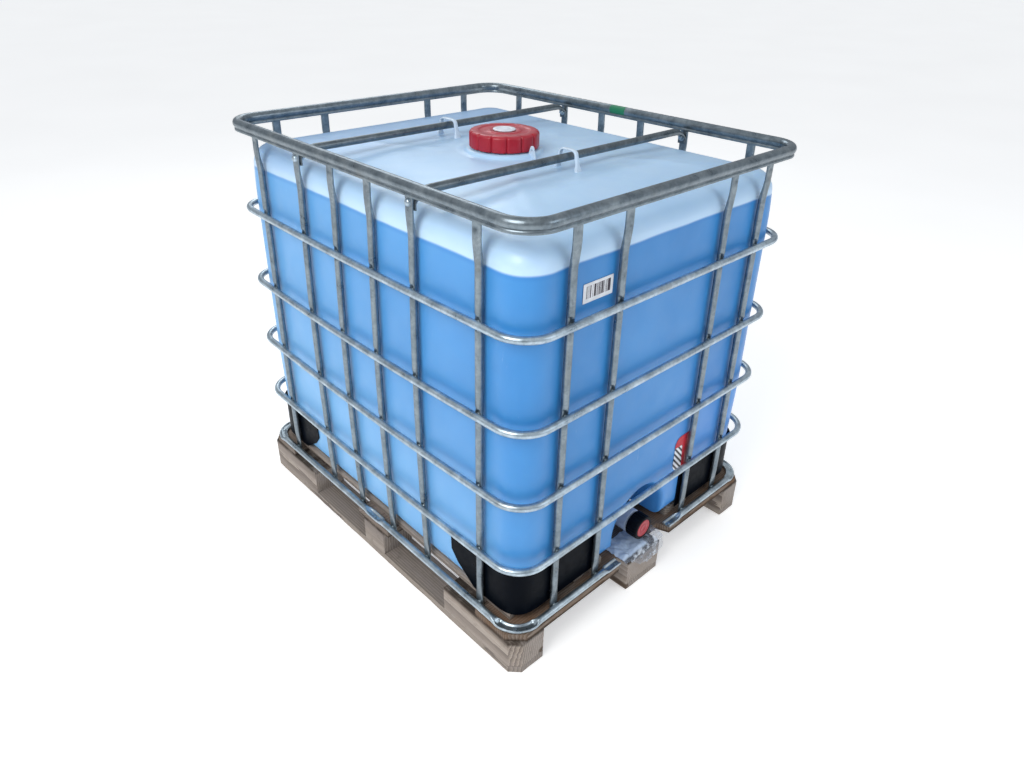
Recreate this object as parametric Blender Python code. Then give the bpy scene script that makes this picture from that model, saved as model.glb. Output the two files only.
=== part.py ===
"""Intermediate bulk container: a plastic bottle in a galvanised tube cage on a wooden pallet.

Origin at the middle of the footprint, on the floor. X runs across the front, -Y is the front with
the outlet valve, +Z is up. All sizes are in metres.
"""
import math

import bmesh
import bpy
from mathutils import Vector

GAP = 0.0003                     # left between pieces that touch

# ---- overall ----
HALF_WIDTH = 0.4995              # outside of the bottom rail
HALF_LENGTH = 0.5995
HEIGHT = 1.160                   # top of the top rail

# ---- pallet ----
PALLET_HALF_X = 0.498
PALLET_HALF_Y = 0.598
BOARD = 0.022                    # thickness of every board
BLOCK_TOP = 0.100
CROSS_TOP = BLOCK_TOP + BOARD
DECK_TOP = CROSS_TOP + BOARD
BLOCK_WIDTH = 0.100              # the outer rows of blocks and their bottom boards
CORNER_BLOCK_LENGTH = 0.275
MIDDLE_BLOCK_LENGTH = 0.098
CENTRE_BLOCK_WIDTH = 0.140
BLOCK_CHAMFER = 0.026
CROSS_BOARD_WIDTH = 0.150
CROSS_BOARD_CUT = 0.040          # the corners cut off the end cross boards
NOTCH_HALF_WIDTH = 0.112         # room for the valve in the front cross board
NOTCH_DEPTH = 0.036
NOTCH_SLOPE = 0.014
OUTER_DECK_X = (0.358, 0.458)
OUTER_DECK_HALF_LENGTH = 0.535
INNER_DECK_X = (0.140, 0.250)
INNER_DECK_HALF_LENGTH = 0.558

# ---- cage ----
TUBE = 0.009                     # radius of uprights, rings and bottom rail
SIDES = 8
RING_Z = (0.307, 0.497, 0.692, 0.912)
RING_HALF_X = 0.488              # centre line
RING_HALF_Y = 0.588
RING_RADIUS = 0.078
WELD_GAP = 0.0010                # between an upright's foot and the bottom rail
UPRIGHT_X = 0.476                # centre line; the rings lie in notches pressed into the uprights
UPRIGHT_Y = 0.576
PRESS_THICK = 0.0045             # half thickness of an upright where a ring crosses it
PRESS_HALF = 0.0112              # half width there
PRESS_REACH = 0.016              # the notch runs out this far above and below the ring
LONG_SIDE_STOPS = (0.447, 0.2325, 0.0765)
SHORT_SIDE_STOPS = (0.348, 0.192)
RAIL_Z = CROSS_TOP + GAP + TUBE  # centre of the bottom rail
RAIL_RADIUS = 0.068
RAIL_END_X = 0.108               # the front of the bottom rail is open here
FLAT_HALF = 0.0125               # half width of a flattened tube
FLAT_THICK = 0.0032              # half thickness of a flattened tube
HEAD_THICK = 0.0040
TOP_RAIL_BOTTOM = 1.128
TOP_RAIL_HALF_X = 0.4855         # centre line
TOP_RAIL_HALF_Y = 0.5855
TOP_RAIL_CORNER = 0.070
BOW = 0.012                      # the long sides stand out this far at mid height
BOW_END = 0.515
FOOT_Z = DECK_TOP - 0.018
FOOT_SHIFT = HALF_WIDTH - 2 * TUBE - WELD_GAP - FLAT_THICK - UPRIGHT_X
HEAD_SHIFT = 0.0060              # the heads step outwards, under the top rail

# ---- crossbars ----
BAR = 0.010
BAR_Z = 1.130
BAR_Y = LONG_SIDE_STOPS[1]

# ---- bottle ----
BOTTLE_HALF_X = 0.4632
BOTTLE_HALF_Y = 0.5632
BOTTLE_CORNER = 0.076
BOTTLE_CORNER_STEPS = 5
BOTTLE_FLOOR = DECK_TOP + GAP
BOTTLE_FOOT_RADIUS = 0.034
BOTTLE_SHOULDER_Z = 1.090
BOTTLE_SHOULDER_RADIUS = 0.050
BOTTLE_CROWN_Z = 1.101
BOTTLE_CROWN_INSET = 0.200
WALL = 0.0030
RECESS_HALF = 0.105
RECESS_SPRING_Z = 0.195          # where the arch of the valve recess starts
RECESS_BACK_Y = -0.450

# ---- filling neck and cap ----
BOSS_RADIUS = 0.100
BOSS_Z = 1.111
NECK_OUTER = 0.0775
NECK_INNER = 0.0725
NECK_Z = 1.146
CAP_RADIUS = 0.093
CAP_INNER = 0.0818
CAP_BOTTOM = 1.1145
CAP_PLATE = 1.150
CAP_TOP = 1.1562
CAP_LOBES = 14
CAP_GROOVE = 0.003
VENT_RADIUS = 0.030
VENT_STEM = 0.0255
VENT_TOP = 1.1597
VENT_STEM_BOTTOM = 1.139
LOOP_THICK = 0.0025              # half thickness of the moulded loops
LOOP_HALF_WIDTH = 0.006
EYELET_Y = -0.106

# ---- outlet valve, axis along -Y ----
VALVE_Z = 0.176
STUB_RADIUS = 0.033
STUB_Y = -0.470
STUB_BORE = 0.024
STEM_Y = -0.512
BODY_RADIUS = 0.033
FLANGE_RADIUS = 0.041
BODY_FRONT_Y = -0.545
THREAD_RADIUS = 0.0272
THREAD_END_Y = -0.572
VALVE_BORE = 0.0225
STEM_RADIUS = 0.0050
STEM_TOP = 0.2262
STEM_BOSS = 0.0125
OUTLET_CAP_RADIUS = 0.036
OUTLET_CAP_INNER = 0.0285
OUTLET_CAP_BACK_Y = -0.549
OUTLET_CAP_FRONT_Y = -0.585
OUTLET_PLATE_Y = -0.5755
LEVER_LENGTH = 0.080

# ---- corner protectors ----
PROTECTOR_TOP = 0.284
PROTECTOR_CLEAR = 0.0007
PROTECTOR_WALL = 0.0027
PROTECTOR_END_Y = 0.325
PROTECTOR_FOOT_END_Y = 0.412     # the end slants in towards the corner at the bottom
PROTECTOR_SLANT_TOP = 0.205
PROTECTOR_END_X = 0.172

GALVANISED = ((0.60, 0.63, 0.66), 0.42, 0.9)
WOOD = ((0.36, 0.29, 0.23), 0.85, 0.0)
PALE_WOOD = ((0.52, 0.44, 0.37), 0.85, 0.0)
BOTTLE_PLASTIC = ((0.60, 0.76, 0.92), 0.35, 0.0)
BLACK_PLASTIC = ((0.015, 0.018, 0.022), 0.45, 0.0)
RED_PLASTIC = ((0.62, 0.03, 0.05), 0.35, 0.0)
WHITE_PLASTIC = ((0.85, 0.87, 0.90), 0.40, 0.0)
RUBBER = ((0.05, 0.05, 0.055), 0.7, 0.0)


# ---------------------------------------------------------------- basic helpers
def clear_scene():
    for item in list(bpy.data.objects):
        bpy.data.objects.remove(item, do_unlink=True)


def make_material(name, look):
    """A plain Principled material with a colour, a roughness and a metallic value."""
    colour, roughness, metallic = look
    material = bpy.data.materials.new(name)
    material.use_nodes = True
    shader = material.node_tree.nodes["Principled BSDF"]
    shader.inputs["Base Color"].default_value = (*colour, 1.0)
    shader.inputs["Roughness"].default_value = roughness
    shader.inputs["Metallic"].default_value = metallic
    return material


def add_object(name, points, faces, look, origin=(0.0, 0.0, 0.0), smooth=True):
    """An object from world points and faces, with its origin where it turns or stands."""
    origin = Vector(origin)
    mesh = bpy.data.meshes.new(name)
    mesh.from_pydata([Vector(p) - origin for p in points], [], faces)
    work = bmesh.new()
    work.from_mesh(mesh)
    bmesh.ops.recalc_face_normals(work, faces=work.faces)
    work.to_mesh(mesh)
    work.free()
    if smooth:
        mesh.shade_smooth()
        mesh.set_sharp_from_angle(angle=math.radians(35))
    item = bpy.data.objects.new(name, mesh)
    item.location = origin
    bpy.context.scene.collection.objects.link(item)
    if look is not None:
        mesh.materials.append(make_material(name + "_material", look))
    return item


def as_tool(item):
    """Mark an object as a guide for a Boolean, not a piece of the container."""
    item.hide_render = True
    item.display_type = "WIRE"
    return item


def combine(target, tool, operation):
    step = target.modifiers.new(operation.lower() + "_" + tool.name, "BOOLEAN")
    step.operation = operation
    step.solver = "EXACT"
    step.object = as_tool(tool)


def loft(loops, closed=False):
    """Faces between equal loops of points: capped at both ends, or joined into a closed band."""
    count = len(loops[0])
    points = [p for loop in loops for p in loop]
    faces = []
    last = len(loops) if closed else len(loops) - 1
    for i in range(last):
        a = i * count
        b = ((i + 1) % len(loops)) * count
        for k in range(count):
            n = (k + 1) % count
            faces.append((a + k, a + n, b + n, b + k))
    if not closed:
        faces.append(tuple(range(count)))
        faces.append(tuple(range((len(loops) - 1) * count, len(loops) * count)))
    return points, faces


def turned(profile, centre, axis, segments):
    """A closed band of points around an axis; profile is (radius, distance along the axis)."""
    axis = Vector(axis)
    first = Vector((1, 0, 0)) if abs(axis.x) < 0.5 else Vector((0, 1, 0))
    second = axis.cross(first)
    loops = []
    for k in range(segments):
        angle = math.tau * k / segments
        out = first * math.cos(angle) + second * math.sin(angle)
        loops.append([Vector(centre) + out * r + axis * d for r, d in profile])
    return loft(loops, closed=True)


def cylinder(name, centre, axis, radius, start, end, segments, look=None):
    """A solid round bar between two distances along its axis."""
    axis = Vector(axis)
    first = Vector((1, 0, 0)) if abs(axis.x) < 0.5 else Vector((0, 1, 0))
    second = axis.cross(first)
    loops = []
    for distance in (start, end):
        loop = []
        for k in range(segments):
            angle = math.tau * (k + 0.5) / segments
            out = first * math.cos(angle) + second * math.sin(angle)
            loop.append(Vector(centre) + out * radius + axis * distance)
        loops.append(loop)
    points, faces = loft(loops)
    return add_object(name, points, faces, look)


def prism(name, outline, low, high, look, origin=(0.0, 0.0, 0.0)):
    """A flat outline in X and Y, raised from low to high."""
    loops = [[(x, y, z) for x, y in outline] for z in (low, high)]
    points, faces = loft(loops)
    return add_object(name, points, faces, look, origin, smooth=False)


# ---------------------------------------------------------------- shared curves
def side_bow(y, z):
    """How far a long side stands out of its plane at a height and a place along it."""
    if abs(y) >= BOW_END:
        return 0.0
    up = (z - RAIL_Z) / (TOP_RAIL_BOTTOM - RAIL_Z)
    up = min(max(up, 0.0), 1.0)
    return BOW * math.sin(math.pi * up) * (1.0 - (y / BOW_END) ** 2)


def rounded_outline(half_x, half_y, radius, z, corner_steps, long_stops, short_stops, bowed=True):
    """Points round a rectangle with round corners, anticlockwise from the +X side."""
    corners = ((1, 1, 0), (-1, 1, 90), (-1, -1, 180), (1, -1, 270))
    straight = {0: [(half_x, y) for y in sorted(long_stops)],
                1: [(x, half_y) for x in sorted(short_stops, reverse=True)],
                2: [(-half_x, y) for y in sorted(long_stops, reverse=True)],
                3: [(x, -half_y) for x in sorted(short_stops)]}
    points = []
    for index, (sx, sy, start) in enumerate(corners):
        points += straight[index]
        cx = sx * (half_x - radius)
        cy = sy * (half_y - radius)
        for step in range(corner_steps + 1):
            angle = math.radians(start + 90 * step / corner_steps)
            points.append((cx + radius * math.cos(angle), cy + radius * math.sin(angle)))
    if not bowed:
        return [Vector((x, y, z)) for x, y in points]
    return [Vector((x * (1 + side_bow(y, z) / half_x), y, z)) for x, y in points]


def section(centre, tangent, axis, shape):
    """The eight corners of a tube's section. shape is half width, half height and two offsets."""
    half_n, half_a, off_n, off_a = shape
    normal = Vector(axis).cross(tangent).normalized()
    grow = 1.0 / math.cos(math.pi / SIDES)
    loop = []
    for k in range(SIDES):
        angle = math.tau * (k + 0.5) / SIDES
        across = off_n + half_n * grow * math.cos(angle)
        along = off_a + half_a * grow * math.sin(angle)
        loop.append(centre + normal * across + Vector(axis) * along)
    return loop


def sweep(path, axis, shapes, closed=False):
    """A tube along a flat path whose plane is square to axis, with its own shape at each point."""
    loops = []
    count = len(path)
    for i, point in enumerate(path):
        before = path[i - 1] if closed or i > 0 else point
        after = path[(i + 1) % count] if closed or i < count - 1 else point
        tangent = (after - before).normalized()
        loops.append(section(point, tangent, axis, shapes[i]))
    return loft(loops, closed)


ROUND = (TUBE, TUBE, 0.0, 0.0)


# ---------------------------------------------------------------- pallet
def make_pallet():
    block_x = PALLET_HALF_X - BLOCK_WIDTH / 2
    half_centre = CENTRE_BLOCK_WIDTH / 2
    boards = (("bottom_board_left", -block_x, BLOCK_WIDTH / 2),
              ("bottom_board_centre", 0.0, half_centre),
              ("bottom_board_right", block_x, BLOCK_WIDTH / 2))
    for name, x, half in boards:
        cut = BLOCK_CHAMFER
        outline = chamfered(x - half, x + half, -PALLET_HALF_Y, PALLET_HALF_Y,
                            {(math.copysign(1, x), s) for s in (-1, 1)} if x else set(), cut)
        prism(name, outline, 0.0, BOARD, PALE_WOOD)

    rows = (("front", -1), ("middle", 0), ("back", 1))
    columns = (("left", -1), ("centre", 0), ("right", 1))
    for row, sy in rows:
        for column, sx in columns:
            make_block(row, sy, column, sx, block_x, half_centre)

    half = CROSS_BOARD_WIDTH / 2
    end_y = PALLET_HALF_Y - half
    low = BLOCK_TOP + GAP
    prism("cross_board_front", front_cross_outline(), low, CROSS_TOP, WOOD)
    back = chamfered(-PALLET_HALF_X, PALLET_HALF_X, end_y - half, PALLET_HALF_Y,
                     {(-1, 1), (1, 1)}, CROSS_BOARD_CUT)
    prism("cross_board_back", back, low, CROSS_TOP, WOOD)
    middle = chamfered(-PALLET_HALF_X, PALLET_HALF_X, -half, half, set(), 0)
    prism("cross_board_middle", middle, low, CROSS_TOP, WOOD)

    for side, name in ((-1, "left"), (1, "right")):
        for place, (near, far), half in (("outer", OUTER_DECK_X, OUTER_DECK_HALF_LENGTH),
                                         ("inner", INNER_DECK_X, INNER_DECK_HALF_LENGTH)):
            xs = sorted((side * near, side * far))
            outline = chamfered(xs[0], xs[1], -half, half, set(), 0)
            prism("deck_board_" + name + "_" + place, outline, CROSS_TOP + GAP, DECK_TOP, WOOD)


def chamfered(x0, x1, y0, y1, cut_corners, cut):
    """A rectangle, anticlockwise, with the named corners (sign of x, sign of y) cut off."""
    points = []
    for sx, sy in ((1, 1), (-1, 1), (-1, -1), (1, -1)):
        x = x1 if sx > 0 else x0
        y = y1 if sy > 0 else y0
        if (sx, sy) not in cut_corners:
            points.append((x, y))
        elif sx == sy:
            points += [(x, y - sy * cut), (x - sx * cut, y)]
        else:
            points += [(x - sx * cut, y), (x, y - sy * cut)]
    return points


def make_block(row, sy, column, sx, block_x, half_centre):
    """One of the nine spacer blocks; the corner ones are long and cut off outside."""
    half_x = BLOCK_WIDTH / 2 if sx else half_centre
    length = CORNER_BLOCK_LENGTH if sx and sy else MIDDLE_BLOCK_LENGTH
    x = sx * block_x
    y = sy * (PALLET_HALF_Y - length / 2)
    cuts = {(sx, sy)} if sx and sy else set()
    outline = chamfered(x - half_x, x + half_x, y - length / 2, y + length / 2, cuts, BLOCK_CHAMFER)
    prism("block_" + row + "_" + column, outline, BOARD + GAP, BLOCK_TOP, PALE_WOOD)


def front_cross_outline():
    """The front cross board, with its outer corners cut and a notch for the valve."""
    back_y = -PALLET_HALF_Y + CROSS_BOARD_WIDTH
    front_y = -PALLET_HALF_Y
    notch_y = front_y + NOTCH_DEPTH
    left = [(-PALLET_HALF_X, back_y), (-PALLET_HALF_X, front_y + CROSS_BOARD_CUT),
            (-PALLET_HALF_X + CROSS_BOARD_CUT, front_y), (-NOTCH_HALF_WIDTH, front_y),
            (-NOTCH_HALF_WIDTH + NOTCH_SLOPE, notch_y)]
    right = [(-x, y) for x, y in reversed(left)]
    return left + right


# ---------------------------------------------------------------- cage
def make_rings():
    for number, z in enumerate(reversed(RING_Z), start=1):
        path = rounded_outline(RING_HALF_X, RING_HALF_Y, RING_RADIUS, z, 5,
                               (-0.36, -0.18, 0.0, 0.18, 0.36), (0.0,))
        points, faces = sweep(path, (0, 0, 1), [ROUND] * len(path), closed=True)
        add_object("cage_ring_" + str(number), points, faces, GALVANISED)


def make_top_rail():
    """The top rail: a rounded crown, a groove under it and a thin lip along its lower edge."""
    low = TOP_RAIL_BOTTOM
    high = HEIGHT
    half = (("crown", 0.0045, high), ("shoulder", 0.0105, high - 0.004), ("side", 0.0130, high - 0.012),
            ("side_end", 0.0118, high - 0.020), ("groove", 0.0080, high - 0.0235),
            ("lip_top", 0.0095, low + 0.0045), ("lip", 0.0100, low))
    outline = [(offset, z) for _, offset, z in half]
    outline += [(-offset, z) for offset, z in reversed(outline)]
    path = rounded_outline(TOP_RAIL_HALF_X, TOP_RAIL_HALF_Y, TOP_RAIL_CORNER, 0.0, 6, (0.0,), (0.0,),
                           bowed=False)
    loops = []
    for i, point in enumerate(path):
        tangent = (path[(i + 1) % len(path)] - path[i - 1]).normalized()
        outward = tangent.cross(Vector((0, 0, 1)))
        loops.append([point + outward * offset + Vector((0, 0, z)) for offset, z in outline])
    points, faces = loft(loops, closed=True)
    add_object("cage_top_rail", points, faces, GALVANISED)


def make_bottom_rail():
    """The bottom rail, open at the front, pressed flat where it is screwed to the pallet."""
    half_x = HALF_WIDTH - TUBE
    half_y = HALF_LENGTH - TUBE
    stops = (-0.075, -0.045, -0.020, 0.020, 0.045, 0.075)
    loop = rounded_outline(half_x, half_y, RAIL_RADIUS, RAIL_Z, 8, stops, (), bowed=False)
    # the loop starts on the +X side and ends at the right of the front: cut it open at the front
    corner_left = max(i for i, p in enumerate(loop) if p.x < 0)
    path = loop[corner_left + 1:] + loop[:corner_left + 1]
    start = [(RAIL_END_X, True), (RAIL_END_X + 0.034, True), (RAIL_END_X + 0.056, False)]
    path = [Vector((x, -half_y, RAIL_Z)) for x, _ in start] + path
    path += [Vector((-x, -half_y, RAIL_Z)) for x, _ in reversed(start)]
    pressed_down = (FLAT_HALF, FLAT_THICK, TUBE - FLAT_HALF, TUBE - FLAT_THICK)
    shapes = []
    for point in path:
        near_end = point.y < -half_y + 0.001 and abs(point.x) < RAIL_END_X + 0.040
        on_middle_board = abs(point.x) > half_x - 0.001 and abs(point.y) < 0.030
        diagonal = min(abs(abs(point.x) - half_x), abs(abs(point.y) - half_y))
        on_corner = diagonal > 0.011
        pressed = near_end or on_middle_board or on_corner
        shapes.append(pressed_down if pressed else ROUND)
    points, faces = sweep(path, (0, 0, -1), shapes)
    add_object("cage_bottom_rail", points, faces, GALVANISED)


def upright_path(base, stop, long_side):
    """Height and distance out from the middle, with the tube's half width, half thickness and
    how far the section's middle is moved inwards."""
    foot = base + FOOT_SHIFT
    head = base + HEAD_SHIFT
    round_tube = (TUBE, TUBE, 0.0)
    flat_foot = (FLAT_HALF, FLAT_THICK, 0.0)
    flat_head = (FLAT_HALF, HEAD_THICK, 0.0)
    notch = (PRESS_HALF, PRESS_THICK, TUBE - PRESS_THICK)
    stations = [(FOOT_Z, foot, flat_foot), (FOOT_Z + 0.026, foot, flat_foot),
                (FOOT_Z + 0.062, base, round_tube)]
    for z in RING_Z:
        stations += [(z - PRESS_REACH, base, round_tube), (z, base, notch),
                     (z + PRESS_REACH, base, round_tube)]
    stations += [(1.030, base, round_tube), (1.072, head - 0.003, flat_head),
                 (1.090, head, flat_head), (TOP_RAIL_BOTTOM - GAP, head, flat_head)]
    if not long_side:
        return stations
    return [(z, out + side_bow(stop, z), size) for z, out, size in stations]


def make_upright(name, sx, sy, stop):
    """A vertical tube on the left or right (sx) or on the front or back (sy)."""
    long_side = sx != 0
    base = UPRIGHT_X if long_side else UPRIGHT_Y
    path = []
    shapes = []
    # a section's offset counts along +X on the long sides and along -Y on the short ones
    inward = -sx if long_side else sy
    for z, out, (wide, thick, shift) in upright_path(base, stop, long_side):
        path.append(Vector((sx * out, stop, z)) if long_side else Vector((stop, sy * out, z)))
        shapes.append((thick, wide, inward * shift, 0.0))
    axis = (0, 1, 0) if long_side else (1, 0, 0)
    points, faces = sweep(path, axis, shapes)
    add_object(name, points, faces, GALVANISED)


def make_uprights():
    long_stops = [-y for y in LONG_SIDE_STOPS] + list(reversed(LONG_SIDE_STOPS))
    short_stops = [-x for x in SHORT_SIDE_STOPS] + list(reversed(SHORT_SIDE_STOPS))
    for side, sx in (("left", -1), ("right", 1)):
        for number, y in enumerate(long_stops, start=1):
            make_upright("upright_" + side + "_" + str(number), sx, 0, y)
    for side, sy in (("front", -1), ("back", 1)):
        for number, x in enumerate(short_stops, start=1):
            make_upright("upright_" + side + "_" + str(number), 0, sy, x)


def make_crossbar(name, y):
    """A tube across the top; its ends turn down and are pressed flat against two uprights."""
    round_bar = (BAR, BAR, 0.0, 0.0)
    pressed = (FLAT_THICK, FLAT_HALF, 0.0, 0.0)
    head_inner = UPRIGHT_X + HEAD_SHIFT - HEAD_THICK
    tab = head_inner - GAP - FLAT_THICK
    half = [(0.432, BAR_Z, round_bar), (0.446, BAR_Z - 0.0010, (0.0085, 0.0108, 0.0, 0.0)),
            (0.457, BAR_Z - 0.0050, (0.0055, 0.0120, 0.0, 0.0)),
            (0.4665, BAR_Z - 0.0115, pressed), (tab - 0.0012, BAR_Z - 0.0180, pressed),
            (tab, BAR_Z - 0.0225, pressed), (tab, BAR_Z - 0.0360, pressed)]
    path = [Vector((-x, y, z)) for x, z, _ in reversed(half)]
    path += [Vector((x, y, z)) for x, z, _ in half]
    shapes = [shape for _, _, shape in reversed(half)] + [shape for _, _, shape in half]
    points, faces = sweep(path, (0, 1, 0), shapes)
    add_object(name, points, faces, GALVANISED)


# ---------------------------------------------------------------- bottle
def bottle_loops(offset):
    """Loops up the bottle's outside, moved in by offset (or out where it is negative)."""
    foot = BOTTLE_FOOT_RADIUS - offset
    shoulder = BOTTLE_SHOULDER_RADIUS - offset
    floor = BOTTLE_FLOOR + offset
    top = BOTTLE_SHOULDER_Z - offset
    levels = []
    for degrees in (0, 30, 60, 90):
        angle = math.radians(degrees)
        levels.append((foot * (1 - math.sin(angle)), floor + foot * (1 - math.cos(angle))))
    levels += [(0.0, z) for z in (0.240, 0.307, 0.497, 0.692, 0.880)]
    for degrees in (0, 30, 60, 90):
        angle = math.radians(degrees)
        levels.append((shoulder * (1 - math.cos(angle)), top - shoulder * (1 - math.sin(angle))))
    levels.append((BOTTLE_CROWN_INSET, BOTTLE_CROWN_Z - offset))
    loops = []
    for inset, z in levels:
        shrink = offset + inset
        loops.append(rounded_outline(BOTTLE_HALF_X - shrink, BOTTLE_HALF_Y - shrink,
                                     max(BOTTLE_CORNER - shrink, 0.030), z, BOTTLE_CORNER_STEPS,
                                     (-0.32, -0.2325, 0.0, 0.2325, 0.32), (0.0,)))
    return loops


def recess_tool(name, grow):
    """The arched block that the valve recess is cut with."""
    half = RECESS_HALF + grow
    outline = [(-half, 0.10), (half, 0.10)]
    steps = 10
    for step in range(steps + 1):
        angle = math.pi * step / steps
        outline.append((half * math.cos(angle), RECESS_SPRING_Z + half * math.sin(angle)))
    loops = [[(x, y, z) for x, z in outline] for y in (-0.62, RECESS_BACK_Y + grow)]
    points, faces = loft(loops)
    return add_object(name, points, faces, None)


def loop_tool(name, y):
    """A moulded loop that stands on the bottle and goes over a crossbar."""
    half = [(0.020, 1.1452), (0.030, 1.1320), (0.036, 1.0960)]
    outline = [(-a, z) for a, z in reversed(half)] + [(a, z) for a, z in half]
    path = [Vector((0.0, y + a, z)) for a, z in outline]
    loops = []
    for i, point in enumerate(path):
        before = path[max(i - 1, 0)]
        after = path[min(i + 1, len(path) - 1)]
        tangent = (after - before).normalized()
        normal = Vector((1, 0, 0)).cross(tangent)
        loops.append([point + normal * LOOP_THICK * a + Vector((LOOP_HALF_WIDTH * b, 0, 0))
                      for a, b in ((-1, -1), (1, -1), (1, 1), (-1, 1))])
    points, faces = loft(loops)
    return add_object(name, points, faces, None)


def eyelet_tool(name):
    """The small lug beside the cap, for a seal wire."""
    outline = [(0.016, 1.096), (0.013, 1.112), (0.004, 1.131), (-0.004, 1.131), (-0.013, 1.112),
               (-0.016, 1.096)]
    loops = [[(x, EYELET_Y + a, z) for a, z in outline] for x in (-0.0025, 0.0025)]
    points, faces = loft(loops)
    return add_object(name, points, faces, None)


def make_bottle():
    points, faces = loft(bottle_loops(0.0))
    bottle = add_object("bottle", points, faces, BOTTLE_PLASTIC)
    combine(bottle, recess_tool("recess_outside", 0.0), "DIFFERENCE")
    up = (0, 0, 1)
    out = (0, -1, 0)
    valve_axis = (0, 0, VALVE_Z)
    combine(bottle, cylinder("neck_boss", (0, 0, 0), up, BOSS_RADIUS, 1.080, BOSS_Z, 32), "UNION")
    combine(bottle, cylinder("neck_outside", (0, 0, 0), up, NECK_OUTER, 1.085, NECK_Z, 32), "UNION")
    combine(bottle, cylinder("stub_outside", valve_axis, out, STUB_RADIUS, 0.435, -STUB_Y, 24), "UNION")
    for name, y in (("loop_front", -BAR_Y), ("loop_back", BAR_Y)):
        combine(bottle, loop_tool(name, y), "UNION")
    combine(bottle, eyelet_tool("eyelet"), "UNION")
    points, faces = loft(bottle_loops(WALL))
    inside = add_object("bottle_inside", points, faces, None)
    combine(inside, recess_tool("recess_inside", WALL), "DIFFERENCE")
    combine(bottle, inside, "DIFFERENCE")
    combine(bottle, cylinder("neck_bore", (0, 0, 0), up, NECK_INNER, 1.060, 1.200, 32), "DIFFERENCE")
    combine(bottle, cylinder("stub_bore", valve_axis, out, STUB_BORE, 0.420, 0.480, 24), "DIFFERENCE")


def make_protectors():
    """The four black shells round the bottle's lower corners."""
    names = {(-1, -1): "front_left", (1, -1): "front_right", (-1, 1): "back_left", (1, 1): "back_right"}
    heights = (BOTTLE_FLOOR, 0.175, PROTECTOR_SLANT_TOP, 0.245, PROTECTOR_TOP)
    for (sx, sy), name in names.items():
        rows = []
        for z in heights:
            inner = protector_line(PROTECTOR_CLEAR, z, sx, sy)
            outer = protector_line(PROTECTOR_CLEAR + PROTECTOR_WALL, z, sx, sy)
            rows.append(inner + list(reversed(outer)))
        points, faces = loft(rows)
        add_object("corner_protector_" + name, points, faces, BLACK_PLASTIC)


def protector_line(offset, z, sx, sy):
    """The bottle's outline round one corner, from the long side to the short side."""
    half_x = BOTTLE_HALF_X + offset
    half_y = BOTTLE_HALF_Y + offset
    radius = BOTTLE_CORNER + offset
    slant = max(0.0, (PROTECTOR_SLANT_TOP - z) / (PROTECTOR_SLANT_TOP - BOTTLE_FLOOR))
    end_y = PROTECTOR_END_Y + (PROTECTOR_FOOT_END_Y - PROTECTOR_END_Y) * slant
    line = [(half_x, end_y), (half_x, half_y - radius)]
    for step in range(1, BOTTLE_CORNER_STEPS):
        angle = math.radians(90 * step / BOTTLE_CORNER_STEPS)
        line.append((half_x - radius + radius * math.cos(angle),
                     half_y - radius + radius * math.sin(angle)))
    line += [(half_x - radius, half_y), (PROTECTOR_END_X, half_y)]
    return [Vector((sx * (x + side_bow(y, z) * x / half_x), sy * y, z)) for x, y in line]


# ---------------------------------------------------------------- filling cap
def make_fill_cap():
    lobe = math.tau / CAP_LOBES
    marks = ((0.0, CAP_RADIUS - CAP_GROOVE), (0.10, CAP_RADIUS), (0.50, CAP_RADIUS + 0.0004),
             (0.90, CAP_RADIUS))
    outside = [(radius * math.cos(lobe * (k + t)), radius * math.sin(lobe * (k + t)))
               for k in range(CAP_LOBES) for t, radius in marks]
    shrink = 1 - 0.0035 / CAP_RADIUS
    loops = [[(x, y, CAP_BOTTOM) for x, y in outside],
             [(x, y, CAP_TOP - 0.0035) for x, y in outside],
             [(x * shrink, y * shrink, CAP_TOP) for x, y in outside]]
    points, faces = loft(loops)
    cap = add_object("fill_cap", points, faces, RED_PLASTIC)
    up = (0, 0, 1)
    combine(cap, cylinder("cap_hollow", (0, 0, 0), up, CAP_INNER, 1.05, CAP_PLATE, 56), "DIFFERENCE")
    combine(cap, cylinder("cap_hole", (0, 0, 0), up, VENT_STEM + GAP, 1.13, 1.20, 24), "DIFFERENCE")

    ring = [(NECK_INNER, NECK_Z + GAP), (NECK_OUTER + 0.001, NECK_Z + GAP),
            (NECK_OUTER + 0.001, CAP_PLATE - GAP), (NECK_INNER, CAP_PLATE - GAP)]
    points, faces = turned(ring, (0, 0, 0), up, 40)
    add_object("fill_cap_gasket", points, faces, RUBBER)

    loops = []
    for radius, z in ((VENT_STEM - 0.001, VENT_STEM_BOTTOM), (VENT_STEM - GAP, VENT_STEM_BOTTOM + 0.001),
                      (VENT_STEM - GAP, CAP_TOP + GAP), (VENT_RADIUS, CAP_TOP + GAP),
                      (VENT_RADIUS, VENT_TOP - 0.001), (VENT_RADIUS - 0.001, VENT_TOP)):
        loops.append([(radius * math.cos(math.tau * k / 24), radius * math.sin(math.tau * k / 24), z)
                      for k in range(24)])
    points, faces = loft(loops)
    add_object("vent_plug", points, faces, WHITE_PLASTIC)


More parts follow.
